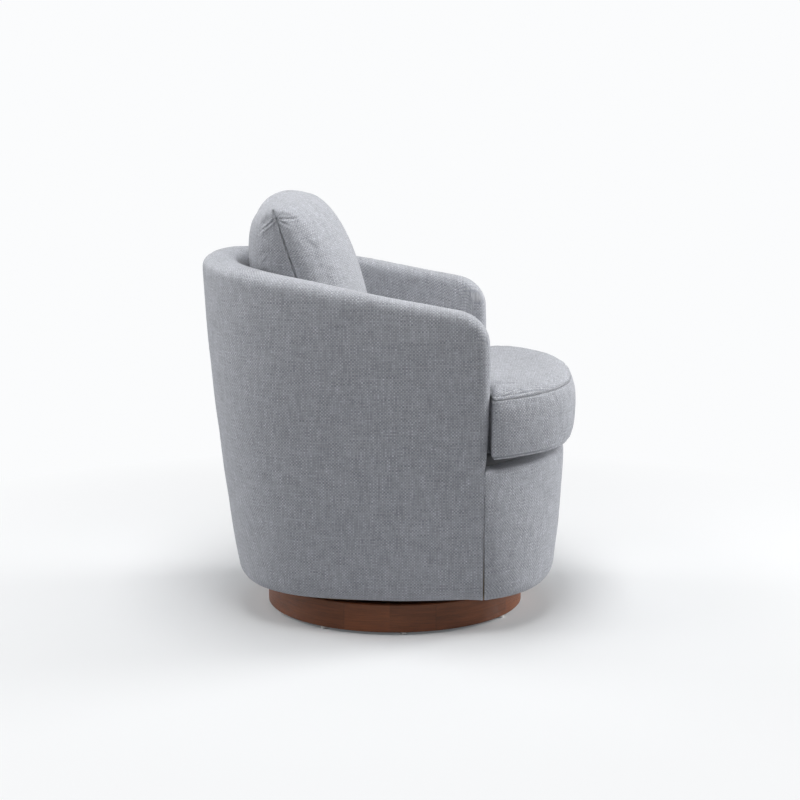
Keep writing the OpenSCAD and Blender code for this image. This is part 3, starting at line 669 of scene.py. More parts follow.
@dataclass(frozen=True)
class TubForm:
    """The tub's outline by height and inset: a round back, nearly straight arms and a bowed front."""

    foot_width: float = 544 * MM
    waist_width: float = 640 * MM
    rim_width: float = 700 * MM
    foot_back: float = 300 * MM
    waist_back: float = 331 * MM
    rim_back: float = 358 * MM
    foot_front: float = 310 * MM
    waist_front: float = 325 * MM
    corner_front: float = 170 * MM
    corner_pinch: float = 12 * MM
    wall: float = 65 * MM
    rim_height: float = 629 * MM
    rim_rise: float = 64 * MM
    rim_droop: float = 11 * MM
    arm_corner: float = 49 * MM
    foot_z: float = 90 * MM
    waist_z: float = 319 * MM
    rim_z: float = 636 * MM
    hem_z: float = 66 * MM
    hem_turn: float = 22 * MM
    hem_rows: int = 9
    rail_top: float = 309 * MM
    centre: float = 20 * MM
    power: float = 2.5
    straight: float = 0.62
    seam: float = 0.343
    foot_bow_power: float = 0.7

    def drawn(self, z: Array, foot: float, waist: float, rim: float) -> Array:
        """A size that changes with height as a parabola.

        Args:
            z: heights.
            foot: the size at the foot.
            waist: the size at the waist.
            rim: the size at the rim.

        Returns:
            The size at each height.
        """
        f, w, r = self.foot_z, self.waist_z, self.rim_z
        return (
            foot * (z - w) * (z - r) / ((f - w) * (f - r))
            + waist * (z - f) * (z - r) / ((w - f) * (w - r))
            + rim * (z - f) * (z - w) / ((r - f) * (r - w))
        )

    def half_width(self, z: Array) -> Array:
        """Half the tub's width at height z."""
        return self.drawn(z, self.foot_width, self.waist_width, self.rim_width) / 2

    def back_reach(self, z: Array) -> Array:
        """From the swivel axis back to the tub at height z."""
        return self.drawn(z, self.foot_back, self.waist_back, self.rim_back)

    def front_reach(self, z: Array) -> Array:
        """From the swivel axis forward to the front panel at height z."""
        share = np.sin(np.pi / 2 * (z - self.foot_z) / (self.waist_z - self.foot_z))
        return self.foot_front + (self.waist_front - self.foot_front) * share

    def round(self, share: Array, z: Array, inset: Array) -> Array:
        """Points of the back and arms.

        Args:
            share: -1 at the right arm's front end, 0 at the middle of the back, 1 at the left arm's.
            z: heights.
            inset: distances in from the outer face.

        Returns:
            The points, in the last axis.
        """
        share, z, inset = np.broadcast_arrays(share, z, inset)
        m = np.abs(share)
        w = self.half_width(z) - inset
        b = self.back_reach(z) - inset - self.centre
        a = np.pi / 2 * (1 - np.minimum(m, self.straight) / self.straight)
        f = (m - self.straight) / (1 - self.straight)
        curved = m <= self.straight
        x = np.where(curved, w * np.cos(a) ** (2 / self.power), w - self.corner_pinch * f * f)
        y = np.where(
            curved,
            self.centre + b * np.sin(a) ** (2 / self.power),
            self.centre - (self.centre + self.corner_front) * f,
        )
        return np.stack([np.sign(share) * x, y, z], axis=-1)

    def arm_share(self, front: Array) -> Array:
        """The share of a point that lies front metres before the axis, on an arm's straight part."""
        length = self.centre + self.corner_front
        return self.straight + (1 - self.straight) * (self.centre + front) / length

    def bow(self, f: Array, z: Array, inset: Array, flat: float = 0.0) -> Array:
        """Points of the bowed front.

        Args:
            f: shares of the half width, 1 at the left corner seam.
            z: heights.
            inset: distances in from the outer face.
            flat: how far before the corner seam the bow starts.

        Returns:
            The points, in the last axis.
        """
        f, z, inset = np.broadcast_arrays(f, z, inset)
        c = self.half_width(z) - self.corner_pinch
        h = self.front_reach(z) - self.corner_front
        r = (c * c + h * h) / (2 * h)
        rise = (z - self.foot_z) / (self.waist_z - self.foot_z)
        full = np.minimum(1, self.foot_bow_power + (1 - self.foot_bow_power) * rise)
        a = np.maximum(0, np.sqrt(np.maximum(r * r - f * f * c * c, 0)) - (r - h)) / h
        y = -(self.corner_front + flat + (h - inset - flat) * a**full)
        return np.stack([f * (c - inset), y, z], axis=-1)

    def rim_line(self, y: Array) -> Array:
        """The rim's height at y behind the axis, before it rounds down at the front."""
        q = y / self.rim_back
        return self.rim_height + self.rim_rise * q - self.rim_droop * q * q

    def hem(self) -> tuple[Array, Array]:
        """The cover's turn under the hem, from below up to the outer face.

        Returns:
            Insets and heights.
        """
        t = np.linspace(0, np.pi / 2, self.hem_rows)
        return self.hem_turn * (1 - np.sin(t)), self.hem_z + (self.foot_z - self.hem_z) * (1 - np.cos(t))

    def outline(self, z: float, inset: float, front_inset: float, count: int) -> Array:
        """The tub's whole outline at one height, closed.

        Args:
            z: the height.
            inset: distance in from the outer face at the back and the arms.
            front_inset: the same at the front.
            count: how many parts the turn is divided into.

        Returns:
            One more point than parts, by even angle.
        """
        share = np.linspace(-1, 1, 241)
        f = bow_places(121)[::-1]
        front = self.bow(f, z, inset)
        front[:, 1] = self.bow(f, z, front_inset)[:, 1]
        loop = np.concatenate([self.round(share, z, inset), front])
        angle = np.arctan2(loop[:, 1], loop[:, 0])
        order = np.argsort(angle)
        turn = np.linspace(-np.pi, np.pi, count + 1)
        reach = np.interp(turn, angle[order], np.hypot(loop[order, 0], loop[order, 1]), period=math.tau)
        return np.stack([reach * np.cos(turn), reach * np.sin(turn), np.full_like(turn, z)], axis=-1)


@dataclass
class TubCovers:
    """The tub's upholstery: covers for the sides and the back, wrapped over the rim, and the front."""

    form: TubForm
    cloth: bpy.types.Material
    roll_depth: float = 25 * MM
    roll_power: float = 2.9
    roll_steps: int = 9
    face_rows: int = 56
    inner_rows: int = 34
    shell: float = 5.5 * MM
    facing: float = 12.8 * MM
    seam_gap: float = 0.02 * MM
    flat_seam: tuple[float, float] = (0.3 * MM, 1.2 * MM)
    corner_seam: tuple[float, float] = (0.9 * MM, 1.7 * MM)
    corner_drop: float = 3.0 * MM
    waves: float = 0.7 * MM
    share_length: float = 0.9
    tight_share: float = 0.009
    near_seam: tuple[float, ...] = (0, 0.8, 1.8, 3.2, 5.2)
    near_corner: tuple[float, ...] = (0.35, 1.1, 2.2, 3.8, 6.0)
    swell_heights: tuple[float, ...] = (319, 345, 380, 420, 455, 490, 520, 560)
    swell_shares: tuple[float, ...] = (0, 0.38, 0.5, 0.62, 0.7, 0.73, 0.71, 0.62)
    end_round: float = 34 * MM
    girth_share: float = 1.12
    girth_points: int = 500
    girth_top: float = 710 * MM
    girth_levels: int = 14
    side_start: float = 0.7
    inner_start: float = 60 * MM
    back_columns: int = 97
    side_columns: int = 72
    corner_columns: int = 15
    front_columns: int = 113
    front_rows: int = 30
    front_gap: float = 0.7 * MM
    front_round: float = 11 * MM
    front_flat: float = 54 * MM
    drop_reach: float = 14 * MM
    drop_top: float = 110 * MM
    drop_fade: float = 50 * MM

    def roll(self) -> tuple[Array, Array]:
        """The rim's section, from outside to inside.

        Returns:
            Depths below the edge, and shares of the wall's thickness.
        """
        t = np.linspace(0, np.pi / 2, self.roll_steps + 1)
        depth = self.roll_depth * (1 - np.sin(t) ** (2 / self.roll_power))
        half = np.cos(t) ** (2 / self.roll_power)
        down = np.concatenate([depth, depth[-2::-1]])
        into = np.concatenate([(1 - half) / 2, 1 - (1 - half[-2::-1]) / 2])
        return down, into

    def girth(self, share: Array, z: Array, start: float) -> Array:
        """Lengths round the tub at each height.

        Args:
            share: shares of the round.
            z: heights, as a table of rows by columns.
            start: the share that the lengths run from.

        Returns:
            The lengths.
        """
        fine = np.linspace(0, self.girth_share, self.girth_points)
        levels = np.linspace(self.form.hem_z, self.girth_top, self.girth_levels)
        runs = []
        for level in levels:
            line = self.form.round(fine, level, 0.0)[None]
            run = cumulative(line)[0]
            runs.append(run - np.interp(start, fine, run))
        table = np.stack([np.interp(np.abs(share), fine, run) for run in runs])
        place = np.clip((z - levels[0]) / (levels[1] - levels[0]), 0, len(levels) - 1.001)
        low = place.astype(int)
        rows, columns = np.indices(np.shape(z))
        mix = place - low
        return table[low, rows, columns] * (1 - mix) + table[low + 1, rows, columns] * mix

    def chain(self, share: Array, top: Array) -> tuple[Array, Array, Array]:
        """The way over a cover's section, from its hem over the rim down to the deck.

        Args:
            share: the columns' shares.
            top: the rim's height over each column.

        Returns:
            Tables of rows by columns: share, height and inset.
        """
        form = self.form
        hem_in, hem_z = form.hem()
        down, into = self.roll()
        rise = np.linspace(0, 1, self.face_rows + 1)[1:-1, None]
        face = form.foot_z + (top - self.roll_depth - form.foot_z) * rise
        drop = np.linspace(0, 1, self.inner_rows + 1)[1:, None]
        inner = (top - self.roll_depth) + (form.rail_top - (top - self.roll_depth)) * drop
        ones = np.ones_like(share)
        z = np.concatenate([hem_z[:, None] * ones, face, top - down[:, None], inner])
        inset = np.concatenate([
            hem_in[:, None] * ones,
            np.zeros_like(face),
            form.wall * into[:, None] * ones,
            np.full_like(inner, form.wall),
        ])
        return share * np.ones_like(z), z, inset

    def tighten(self, obj: bpy.types.Object, *nodes: str) -> bpy.types.Object:
        """Sinks a cover's seams, gives it its thickness inwards and hands it over.

        Args:
            obj: the cover's outer face.
            nodes: the plain solids that it stands for.

        Returns:
            The cover.
        """
        Bench.sink(obj)
        even = {"use_even_offset": True, "use_quality_normals": True}
        Bench.modify(obj, "SOLIDIFY", thickness=self.shell, offset=-1.0, **even)
        Bench.apply_all(obj)
        Bench.smooth(obj, 60.0)
        return hand_over(obj, self.cloth, Body.CHAIR, nodes)

    def unevenness(self, points: Array) -> Array:
        """A slow waviness of padded cloth.

        Args:
            points: places in metres.

        Returns:
            How far each point sinks.
        """
        x, y, z = np.abs(points[..., 0]), points[..., 1], points[..., 2]
        return self.waves * (
            np.sin(19 * x + 31 * z + 1.3) * np.sin(23 * y - 17 * z + 0.4)
            + 0.6 * np.sin(47 * z + 29 * y + 2.1) * np.sin(41 * x + 3.0)
        )

    def back(self) -> bpy.types.Object:
        """Makes the back's cover, from seam to seam.

        Returns:
            The cover.
        """
        form = self.form
        edge = form.seam - self.seam_gap / self.share_length
        inner = np.linspace(1, -1, self.back_columns) * (edge - self.tight_share)
        tight = edge - np.array(self.near_seam) * MM / self.share_length
        share = np.concatenate([tight, inner, -tight[::-1]])
        top = form.rim_line(form.round(share, form.rim_z, 0.0)[:, 1])
        s, z, inset = self.chain(share, top)
        points = form.round(s, z, inset)
        u = self.girth(s, z, 0.0) * np.sign(s)
        v = cumulative(points.transpose(1, 0, 2)).T
        limit = self.girth(np.full_like(s, edge), z, 0.0)
        dip = seam_dip(limit - np.abs(u), *self.flat_seam) + self.unevenness(points)
        obj = Bench.joined("cover_back", (points, np.stack([u, v], axis=-1), dip))
        return self.tighten(obj, "outer_back", "rim_back_roll", "inner_back")

    def side(self, side: Side) -> bpy.types.Object:
        """One side's cover, from the back seam round the arm's front end to its inner face.

        Args:
            side: which side.

        Returns:
            The cover.
        """
        form = self.form
        edge = form.seam + self.seam_gap / self.share_length
        tight = edge + np.array(self.near_seam) * MM / self.share_length
        bend = form.corner_front - form.arm_corner
        last = form.arm_share(bend)
        curve = np.linspace(edge + self.tight_share, last, self.side_columns)
        share = np.concatenate([tight, curve])
        top = form.rim_line(form.round(share, form.rim_z, 0.0)[:, 1])
        s, z, inset = self.chain(share, top)
        # The columns under the arm's upper front corner fan round it
        fan = np.linspace(0, np.pi / 2, self.corner_columns)[1:]
        radius = form.arm_corner
        step = 10 * MM
        slope = (form.rim_line(-bend) - form.rim_line(-bend - step)) / step
        middle = form.rim_line(-bend) - radius
        down, _ = self.roll()

        def corner(angle: Array, depth: Array) -> tuple[Array, Array]:
            """Distance before the axis, and height, at a depth inside the rounded corner."""
            reach = radius - depth
            ahead = reach * np.sin(angle)
            return bend + ahead, middle + reach * np.cos(angle) - slope * ahead

        front_top, top_z = corner(fan, np.full_like(fan, self.roll_depth))
        fan_s, fan_z, fan_in = self.chain(form.arm_share(front_top), top_z + self.roll_depth)
        roll_row = form.hem_rows + self.face_rows - 1
        y = -form.round(fan_s, fan_z, 0.0)[..., 1] + self.swell(fan_z) * np.sin(fan)
        roll_y, roll_z = corner(fan[None, :], down[:, None])
        rows = slice(roll_row, roll_row + len(down))
        y[rows] = roll_y + self.swell(top_z[-1]) * np.sin(fan)
        fan_z[rows] = roll_z
        inside = slice(roll_row + len(down), None)
        y[inside] = front_top + self.swell(fan_z[inside]) * np.sin(fan)
        fan_s = form.arm_share(y)
        s, z, inset = (np.concatenate(pair, axis=1) for pair in ((s, fan_s), (z, fan_z), (inset, fan_in)))
        points = form.round(s, z, inset)
        u = self.girth(s, z, self.side_start)
        v = cumulative(points.transpose(1, 0, 2)).T
        start = self.girth(np.full_like(s, edge), z, self.side_start)
        dip = seam_dip(u - start, *self.flat_seam) + self.unevenness(points)
        sign = side.value
        parts = [(points, np.stack([u, v], axis=-1), dip)]
        parts += self.arm_end(points, u, v, z, roll_row, len(down))
        mirrored = [(points * [sign, 1, 1], weave * [sign, 1], dip) for points, weave, dip in parts]
        sheets = [tuple(table[:, ::-sign] for table in part) for part in mirrored]
        word = side.word
        obj = Bench.joined(f"cover_side_{word}", *sheets)
        nodes = f"outer_side_{word}", f"rim_{word}_roll", f"inner_side_{word}", f"arm_front_{word}"
        return self.tighten(obj, *nodes)

    def swell(self, z: Array) -> Array:
        """How far the arm's front end swells forward at height z, over the rail."""
        return self.facing * np.interp(z, np.array(self.swell_heights) * MM, self.swell_shares)

    def opening(self, z: Array) -> Array:
        """How far the arm's end is rounded at height z: not at the waist, and fully a little over it."""
        share = np.clip((z - self.form.waist_z) / self.end_round, 0, 1)
        return share * share * (3 - 2 * share)

    def end_heights(self, z: Array, corner_z: Array) -> Array:
        """Heights over the arm's end: even at the waist and below, and the rounded corner's at the top.

        Args:
            z: heights up the end's outer column.
            corner_z: heights along its top row.

        Returns:
            A table with a row for each z.
        """
        waist = self.form.waist_z
        lift = np.clip((z - waist) / (z[-1] - waist), 0, 1)
        return z[:, None] + lift[:, None] * (corner_z - z[-1])[None, :]

    def hem_drop(self, edge: Array, z: Array) -> Array:
        """How far the hem hangs lower beside the corner seam."""
        low = np.clip((self.drop_top - z) / self.drop_fade, 0, 1)
        return self.corner_drop * np.exp(-np.abs(edge) / self.drop_reach) * low

    def arm_end(
        self, points: Array, u: Array, v: Array, z: Array, roll_row: int, roll_count: int
    ) -> list[tuple[Array, Array, Array]]:
        """The arm's rounded front end, beside the last column of the side's sheet.

        Args:
            points: the side's points.
            u: places along its weft.
            v: places along its warp.
            z: heights.
            roll_row: the row where the roll starts.
            roll_count: how many rows the roll has.

        Returns:
            The outer and the inner half of the end, each as points, weave and dips.
        """
        form = self.form
        down, into = self.roll()
        half = self.roll_steps
        outer_z = z[: roll_row + 1, -1]
        zz = self.end_heights(outer_z, z[roll_row : roll_row + half + 1, -1])
        yy = -points[: roll_row + 1, -1, 1][:, None] + (self.roll_depth - down[: half + 1])[None, :]
        inset = self.opening(outer_z)[:, None] * form.wall * into[None, : half + 1]
        inset[: form.hem_rows] = form.hem()[0][:, None]
        outer = form.round(form.arm_share(yy), zz, inset)
        run = cumulative(outer)
        outer_u = u[: roll_row + 1, -1][:, None] + run
        outer_v = v[: roll_row + 1, -1][:, None] + np.zeros_like(run)
        edge = form.corner_front - yy
        below = outer_z < form.waist_z
        dip = np.where(below[:, None], seam_dip(edge, *self.corner_seam), 0.0) + self.unevenness(outer)
        outer[..., 2] -= self.hem_drop(edge, zz)
        inner_rows = slice(roll_row + roll_count - 1, None)
        inner_z = z[inner_rows, -1][::-1]
        keep = inner_z >= form.rail_top
        inner_z = inner_z[keep]
        inner_y = -points[inner_rows, -1, 1][::-1][keep]
        first = self.opening(inner_z)[:, None] * form.wall / 2
        inset = first + (form.wall - first) * (into[half:] - 0.5)[None, :] * 2
        zz = self.end_heights(inner_z, z[roll_row + half : roll_row + roll_count, -1])
        yy = inner_y[:, None] + (self.roll_depth - down[half:])[None, :]
        inner = form.round(form.arm_share(yy), zz, inset)
        run = cumulative(inner)
        inner_u = u[0, -1] + self.inner_start + run
        inner_v = zz
        return [
            (outer, np.stack([outer_u, outer_v], axis=-1), dip),
            (inner, np.stack([inner_u, inner_v], axis=-1), self.unevenness(inner)),
        ]

    def front(self) -> bpy.types.Object:
        """Makes the bowed front cover, from the hem over its rounded top edge to the deck.

        Returns:
            The cover.
        """
        form = self.form
        near = 1 - np.array(self.near_corner) * MM / (form.foot_width / 2)
        f = np.concatenate([-near, bow_places(self.front_columns)[2:-2], near[::-1]])
        hem_in, hem_z = form.hem()
        top = form.waist_z - self.front_gap
        radius = self.front_round
        face_z = np.linspace(form.foot_z, top - radius, self.front_rows)[1:]
        t = np.linspace(0, np.pi / 2, 8)[1:]
        flat = np.linspace(radius, self.front_flat, 7)[1:]
        inset = np.concatenate([hem_in, 0 * face_z, radius * (1 - np.cos(t)), flat])[:, None]
        z = np.concatenate([hem_z, face_z, top - radius + radius * np.sin(t), top + 0 * flat])[:, None]
        points = form.bow(f[None, :], z, inset, self.seam_gap)
        run = cumulative(points)
        along = run - run[:, [len(f) // 2]]
        up = cumulative(points.transpose(1, 0, 2)).T
        edge = np.minimum(run, run[:, [-1]] - run)
        dip = seam_dip(edge, *self.corner_seam) + self.unevenness(points)
        points[..., 2] -= self.hem_drop(edge, z)
        obj = Bench.joined("cover_front", (points, np.stack([along, up], axis=-1), dip))
        return self.tighten(obj, "front_panel")

    def build(self) -> list[bpy.types.Object]:
        """All of the tub's covers, standing for the plain solids of its upholstery."""
        return [self.back(), self.front(), *(self.side(side) for side in Side)]


@dataclass
class Stuffing:
    """Turns a closed form into a stuffed one: an even mesh, inflated as cloth that its seams hold."""

    voxel: float = 6 * MM
    pressure: float = 4.0
    slack: float = 0.02
    stiffness: float = 6.0
    frames: int = 20
    hold: float = 6 * MM
    give: float = 0.3 * MM

    def inflate(self, obj: bpy.types.Object, seams: Array, limit: Callable[[Array], Array]) -> None:
        """Remeshes obj and lets its cloth swell between the seams.

        Args:
            obj: a closed form with its weave map.
            seams: points along its seams.
            limit: gives, for a table of points, how far each may move.
        """
        source = obj.copy()
        source.data = obj.data.copy()
        bpy.context.collection.objects.link(source)
        Bench.modify(obj, "REMESH", mode="VOXEL", voxel_size=self.voxel, adaptivity=0.0)
        Bench.apply_all(obj)
        before = Bench.points(obj)
        self.simulate(obj, before, seams, limit(before))
        Bench.modify(obj, "SUBSURF", levels=1, render_levels=1)
        Bench.apply_all(obj)
        self.carry_weave(obj, source)
        bpy.data.objects.remove(source)

    def simulate(self, obj: bpy.types.Object, before: Array, seams: Array, limit: Array) -> None:
        """Runs the cloth and keeps each point's move under its limit.

        Args:
            obj: the closed form.
            before: its points.
            seams: points along its seams.
            limit: how far each point may move.
        """
        near = distance_to(before, seams)[0]
        normals = Bench.points(obj, "normal")
        group = obj.vertex_groups.new(name="held")
        for index in np.flatnonzero(near < self.hold):
            group.add([int(index)], float(np.clip(1.4 - near[index] / self.hold, 0, 1)), "REPLACE")
        cloth = Bench.modify(obj, "CLOTH")
        settings = cloth.settings
        settings.quality = 5
        settings.mass = 0.15
        settings.tension_stiffness = self.stiffness
        settings.compression_stiffness = self.stiffness
        settings.shear_stiffness = self.stiffness / 3
        settings.bending_stiffness = 0.5
        settings.shrink_min = -self.slack
        settings.use_pressure = True
        settings.uniform_pressure_force = self.pressure
        settings.effector_weights.gravity = 0.0
        settings.vertex_group_mass = "held"
        cloth.collision_settings.use_collision = False
        cloth.point_cache.frame_start = 1
        cloth.point_cache.frame_end = self.frames
        scene = bpy.context.scene
        for number in range(1, self.frames + 1):
            scene.frame_set(number)
        Bench.apply_all(obj)
        scene.frame_set(1)
        move = Bench.points(obj) - before
        # Only a seam draws the cloth in; elsewhere the filling holds it out
        sunk = np.minimum(0, (move * normals).sum(axis=1) + self.give)
        move -= normals * sunk[:, None]
        length = np.linalg.norm(move, axis=1)
        typical = np.median(length) / MM
        LOG.info("%s swells %.1f mm before its limits, at the middle point", obj.name, typical)
        soft = limit * np.tanh(length / np.maximum(limit, 1e-9)) / np.maximum(length, 1e-9)
        Bench.move(obj, before + move * soft[:, None])
        obj.vertex_groups.clear()

    @staticmethod
    def carry_weave(obj: bpy.types.Object, source: bpy.types.Object) -> None:
        """Copies the weave map onto a stuffed mesh.

        Args:
            obj: the stuffed mesh.
            source: the form that it was made from.
        """
        if not obj.data.uv_layers:
            obj.data.uv_layers.new(name=WEAVE_MAP)
        obj.data.uv_layers[0].name = WEAVE_MAP
        Bench.modify(
            obj,
            "DATA_TRANSFER",
            object=source,
            use_loop_data=True,
            data_types_loops={"UV"},
            loop_mapping="POLYINTERP_NEAREST",
        )
        Bench.apply_all(obj)

    @staticmethod
    def refine(obj: bpy.types.Object, lines: Array, reach: float, cuts: int = 1) -> None:
        """Splits the faces beside a line.

        Args:
            obj: the mesh.
            lines: points along the line.
            reach: how far from it faces are split the first time.
            cuts: how many times.
        """
        for _ in range(cuts):
            near = distance_to(Bench.points(obj), lines)[0] < reach
            Bench.only(obj)
            bpy.ops.object.mode_set(mode="EDIT")
            bpy.ops.mesh.select_mode(type="VERT")
            bpy.ops.mesh.select_all(action="DESELECT")
            bpy.ops.object.mode_set(mode="OBJECT")
            obj.data.vertices.foreach_set("select", near)
            bpy.ops.object.mode_set(mode="EDIT")
            bpy.ops.mesh.select_mode(type="VERT")
            bpy.ops.mesh.subdivide(number_cuts=1, smoothness=0.0)
            bpy.ops.object.mode_set(mode="OBJECT")
            reach *= 0.7


def settle(obj: bpy.types.Object, line: Array) -> Array:
    """The points of a line, each moved to the nearest place on an object's surface."""
    return np.array([obj.closest_point_on_mesh(Vector(place))[1] for place in line])


def distance_to(points: Array, line: Array) -> tuple[Array, Array]:
    """How far each point lies from a line.

    Args:
        points: the points.
        line: points along the line.

    Returns:
        The distance to the nearest of the line's points, and that one's number.
    """
    tree = KDTree(len(line))
    for number, place in enumerate(line):
        tree.insert(place, number)
    tree.balance()
    far = np.empty(len(points))
    which = np.empty(len(points), dtype=int)
    for index, place in enumerate(points):
        _, which[index], far[index] = tree.find(place)
    return far, which


@dataclass
class SeatCushion:
    """The loose boxed seat cushion, with ears in front of the arms and a crowned top."""

    form: TubForm
    cloth: bpy.types.Material
    low: float = 337.6 * MM
    boxing: float = 109 * MM
    seam_rise: float = 9 * MM
    rise_from: float = 150 * MM
    rise_over: float = 190 * MM
    turn_up: float = 7 * MM
    crown: float = 9 * MM
    puff: float = 15.5 * MM
    puff_reach: tuple[float, float] = (8.5 * MM, 26 * MM)
    front: float = 335 * MM
    ear_width: float = 616 * MM
    ear_y: float = 182.5 * MM
    ear_round: float = 8 * MM
    bow_power: float = 3.3
    side_gap: float = 6 * MM
    flare: float = 6 * MM
    bulge: float = 6.5 * MM
    middle: tuple[float, float] = (0.0, -207.7 * MM)
    peak: float = -33.5 * MM
    bulge_places: tuple[float, ...] = (0, 0.05, 0.2, 0.5, 0.8, 0.95, 1)
    bulge_shares: tuple[float, ...] = (0, 0.3, 0.68, 0.97, 0.92, 0.55, 0)
    rings: tuple[float, ...] = (
        1, 0.993, 0.985, 0.975, 0.96, 0.94, 0.9, 0.86, 0.8,
        0.74, 0.66, 0.58, 0.48, 0.38, 0.28, 0.18, 0.09, 0.02,
    )
    blend: float = 9 * MM
    back_bulge: float = 0.4
    back_fade: float = 12
    ear_bulges: tuple[float, float] = (0.1, 0.75)
    fold: tuple[tuple[float, float], ...] = ((0, 6), (2, 1.5), (6, 0))
    bow_count: int = 81
    push: Triple = (0.8 * MM, 3.2 * MM, 2.6 * MM)
    push_top_fade: float = 8 * MM
    push_front_from: float = 200 * MM
    push_front_fade: float = 30 * MM
    held_foot: float = 4 * MM
    turn_from: float = 170 * MM
    turn_fade: float = 20 * MM
    upper_seam: Triple = (1.3 * MM, 0.8 * MM, 0.6 * MM)
    stitching: Triple = (0.8 * MM, 0.9 * MM, 0.2 * MM)
    lower_seam: Triple = (1.8 * MM, 1.2 * MM, 0.6 * MM)

    def outline(self, flare: float, count: int = 336) -> Array:
        """The seam's outline, closed.

        Args:
            flare: how far it stands out towards the arms and the back.
            count: how many even steps it has.

        Returns:
            One more point than steps, each as x, y and its share of the bulge.
        """
        form = self.form
        share = np.linspace(1, -1, 161)
        arm = form.round(share, self.low, form.wall + self.side_gap - flare)[:, :2]
        soft = np.clip((1 - np.abs(share)) * self.back_fade, 0, 1) * self.back_bulge
        half = self.ear_width / 2
        turn = np.linspace(0, np.pi / 2, 9)
        tip = np.stack([
            half - self.ear_round * (1 - np.sin(turn)),
            -(self.ear_y + self.ear_round * (1 - np.cos(turn))),
        ], axis=-1)
        neck = arm[0][0]
        ear = np.concatenate([[neck, -self.ear_y] + np.array(self.fold) * MM, tip])
        ear_bulge = np.concatenate([np.zeros(len(self.fold)), np.linspace(*self.ear_bulges, len(turn))])
        y0 = self.ear_y + self.ear_round
        f = bow_places(self.bow_count)
        bow = np.stack([f * half, -(y0 + (self.front - y0) * (1 - np.abs(f) ** self.bow_power))], axis=-1)
        flip = np.array([-1, 1])
        loop = np.concatenate([arm, ear * flip, bow[1:-1], ear[::-1]])
        weight = np.concatenate([soft, ear_bulge, np.ones(self.bow_count - 2), ear_bulge[::-1]])
        loop = np.concatenate([loop, loop[:1]])
        weight = np.append(weight, weight[0])
        run = cumulative(np.pad(loop, ((0, 0), (0, 1)))[None])[0]
        even = np.linspace(0, run[-1], count + 1)
        columns = loop[:, 0], loop[:, 1], weight
        return np.column_stack([np.interp(even, run, column) for column in columns])

    @staticmethod
    def outward(loop: Array) -> Array:
        """Directions out of an outline.

        Args:
            loop: a closed anticlockwise outline.

        Returns:
            A unit direction for each of its points.
        """
        ahead, behind = np.roll(loop[:-1, :2], -1, axis=0), np.roll(loop[:-1, :2], 1, axis=0)
        way = ahead - behind
        way /= np.linalg.norm(way, axis=1, keepdims=True)
        out = np.stack([way[:, 1], -way[:, 0]], axis=-1)
        return np.concatenate([out, out[:1]])

    def lift(self, place: Array) -> Array:
        """How far the upper seam rises along the bowed front.

        Args:
            place: places along the seam.

        Returns:
            The rise at each.
        """
        x, y = place[:, 0], place[:, 1]
        across = np.clip(1 - (2 * x / self.ear_width) ** 2, 0, 1)
        return self.seam_rise * across * np.clip((-y - self.rise_from) / self.rise_over, 0, 1)

    def crown_height(self, place: Array, edge: Array) -> Array:
        """How high the top stands over the upper seam: a crown, and a puff that climbs from the seam.

        Args:
            place: places on the top.
            edge: the place on the seam that each belongs to.

        Returns:
            The heights.
        """
        u = np.minimum(1, np.abs(place[:, 0]) / (self.ear_width / 2))
        v = np.minimum(1, np.abs(place[:, 1] - self.peak) / (self.front + self.peak))
        far = np.linalg.norm(edge - place, axis=1)
        ends, front = self.puff_reach
        bow = np.clip((-edge[:, 1] - self.ear_y) / (60 * MM), 0, 1)
        off = np.minimum(1, np.abs(edge[:, 0]) / (0.9 * self.ear_width / 2))
        reach = ends + (front - ends) * bow * (1 - off**4)
        return self.crown * (1 - u**2.4) * (1 - v**2.6) + self.puff * (1 - np.exp(-far / reach))

    def limit(self, points: Array) -> Array:
        """How far the stuffing may push: freely on top and in front, little beside the arms.

        Args:
            points: points of the form.

        Returns:
            The limit at each.
        """
        seam = self.low + self.boxing
        above = np.clip((points[:, 2] - seam) / self.push_top_fade, 0, 1)
        ahead = -points[:, 1] - self.push_front_from
        front = np.clip(ahead / self.push_front_fade, 0, 1) * (points[:, 2] > self.low + self.held_foot)
        least, on_top, in_front = self.push
        return least + above * on_top + (1 - above) * front * in_front

    def build(self) -> bpy.types.Object:
        """Makes the stuffed cushion with its seams.

        Returns:
            The cushion.
        """
        rise = np.linspace(0, 1, 25)
        swell = np.interp(rise, self.bulge_places, self.bulge_shares)
        rings = []
        for share, out in zip(rise, swell):
            loop = self.outline(self.flare * share)
            place = loop[:, :2] + self.outward(loop) * (loop[:, 2] * out * self.bulge)[:, None]
            foot = self.turn_up * np.clip((-loop[:, 1] - self.turn_from) / self.turn_fade, 0, 1)
            high = self.low + foot + share * (self.boxing - foot + self.lift(loop))
            rings.append(np.column_stack([place, high]))
        boxing = np.array(rings)
        run = cumulative(boxing[-1:])[0]
        around = np.tile(run, (len(boxing), 1))
        weave = np.stack([around, boxing[..., 2]], axis=-1)
        middle = np.array(self.middle)
        shrink = np.array(self.rings)
        edge = boxing[-1]
        top = []
        for f in shrink:
            q = middle + f * (edge[:, :2] - middle)
            base = self.low + self.boxing + (edge[:, 2] - self.low - self.boxing) * f * f
            top.append(np.column_stack([q, base + self.crown_height(q, edge[:, :2])]))
        top = np.array(top)
        bottom_edge = boxing[0]
        bottom = []
        for f in shrink[::-1]:
            q = middle + f * (bottom_edge[:, :2] - middle)
            far = np.linalg.norm(bottom_edge[:, :2] - q, axis=1)
            high = self.low + (bottom_edge[:, 2] - self.low) * np.exp(-far / self.blend)
            bottom.append(np.column_stack([q, high]))
        bottom = np.array(bottom)
        parts = [(bottom, bottom[..., :2]), (boxing, weave), (top, top[..., :2])]
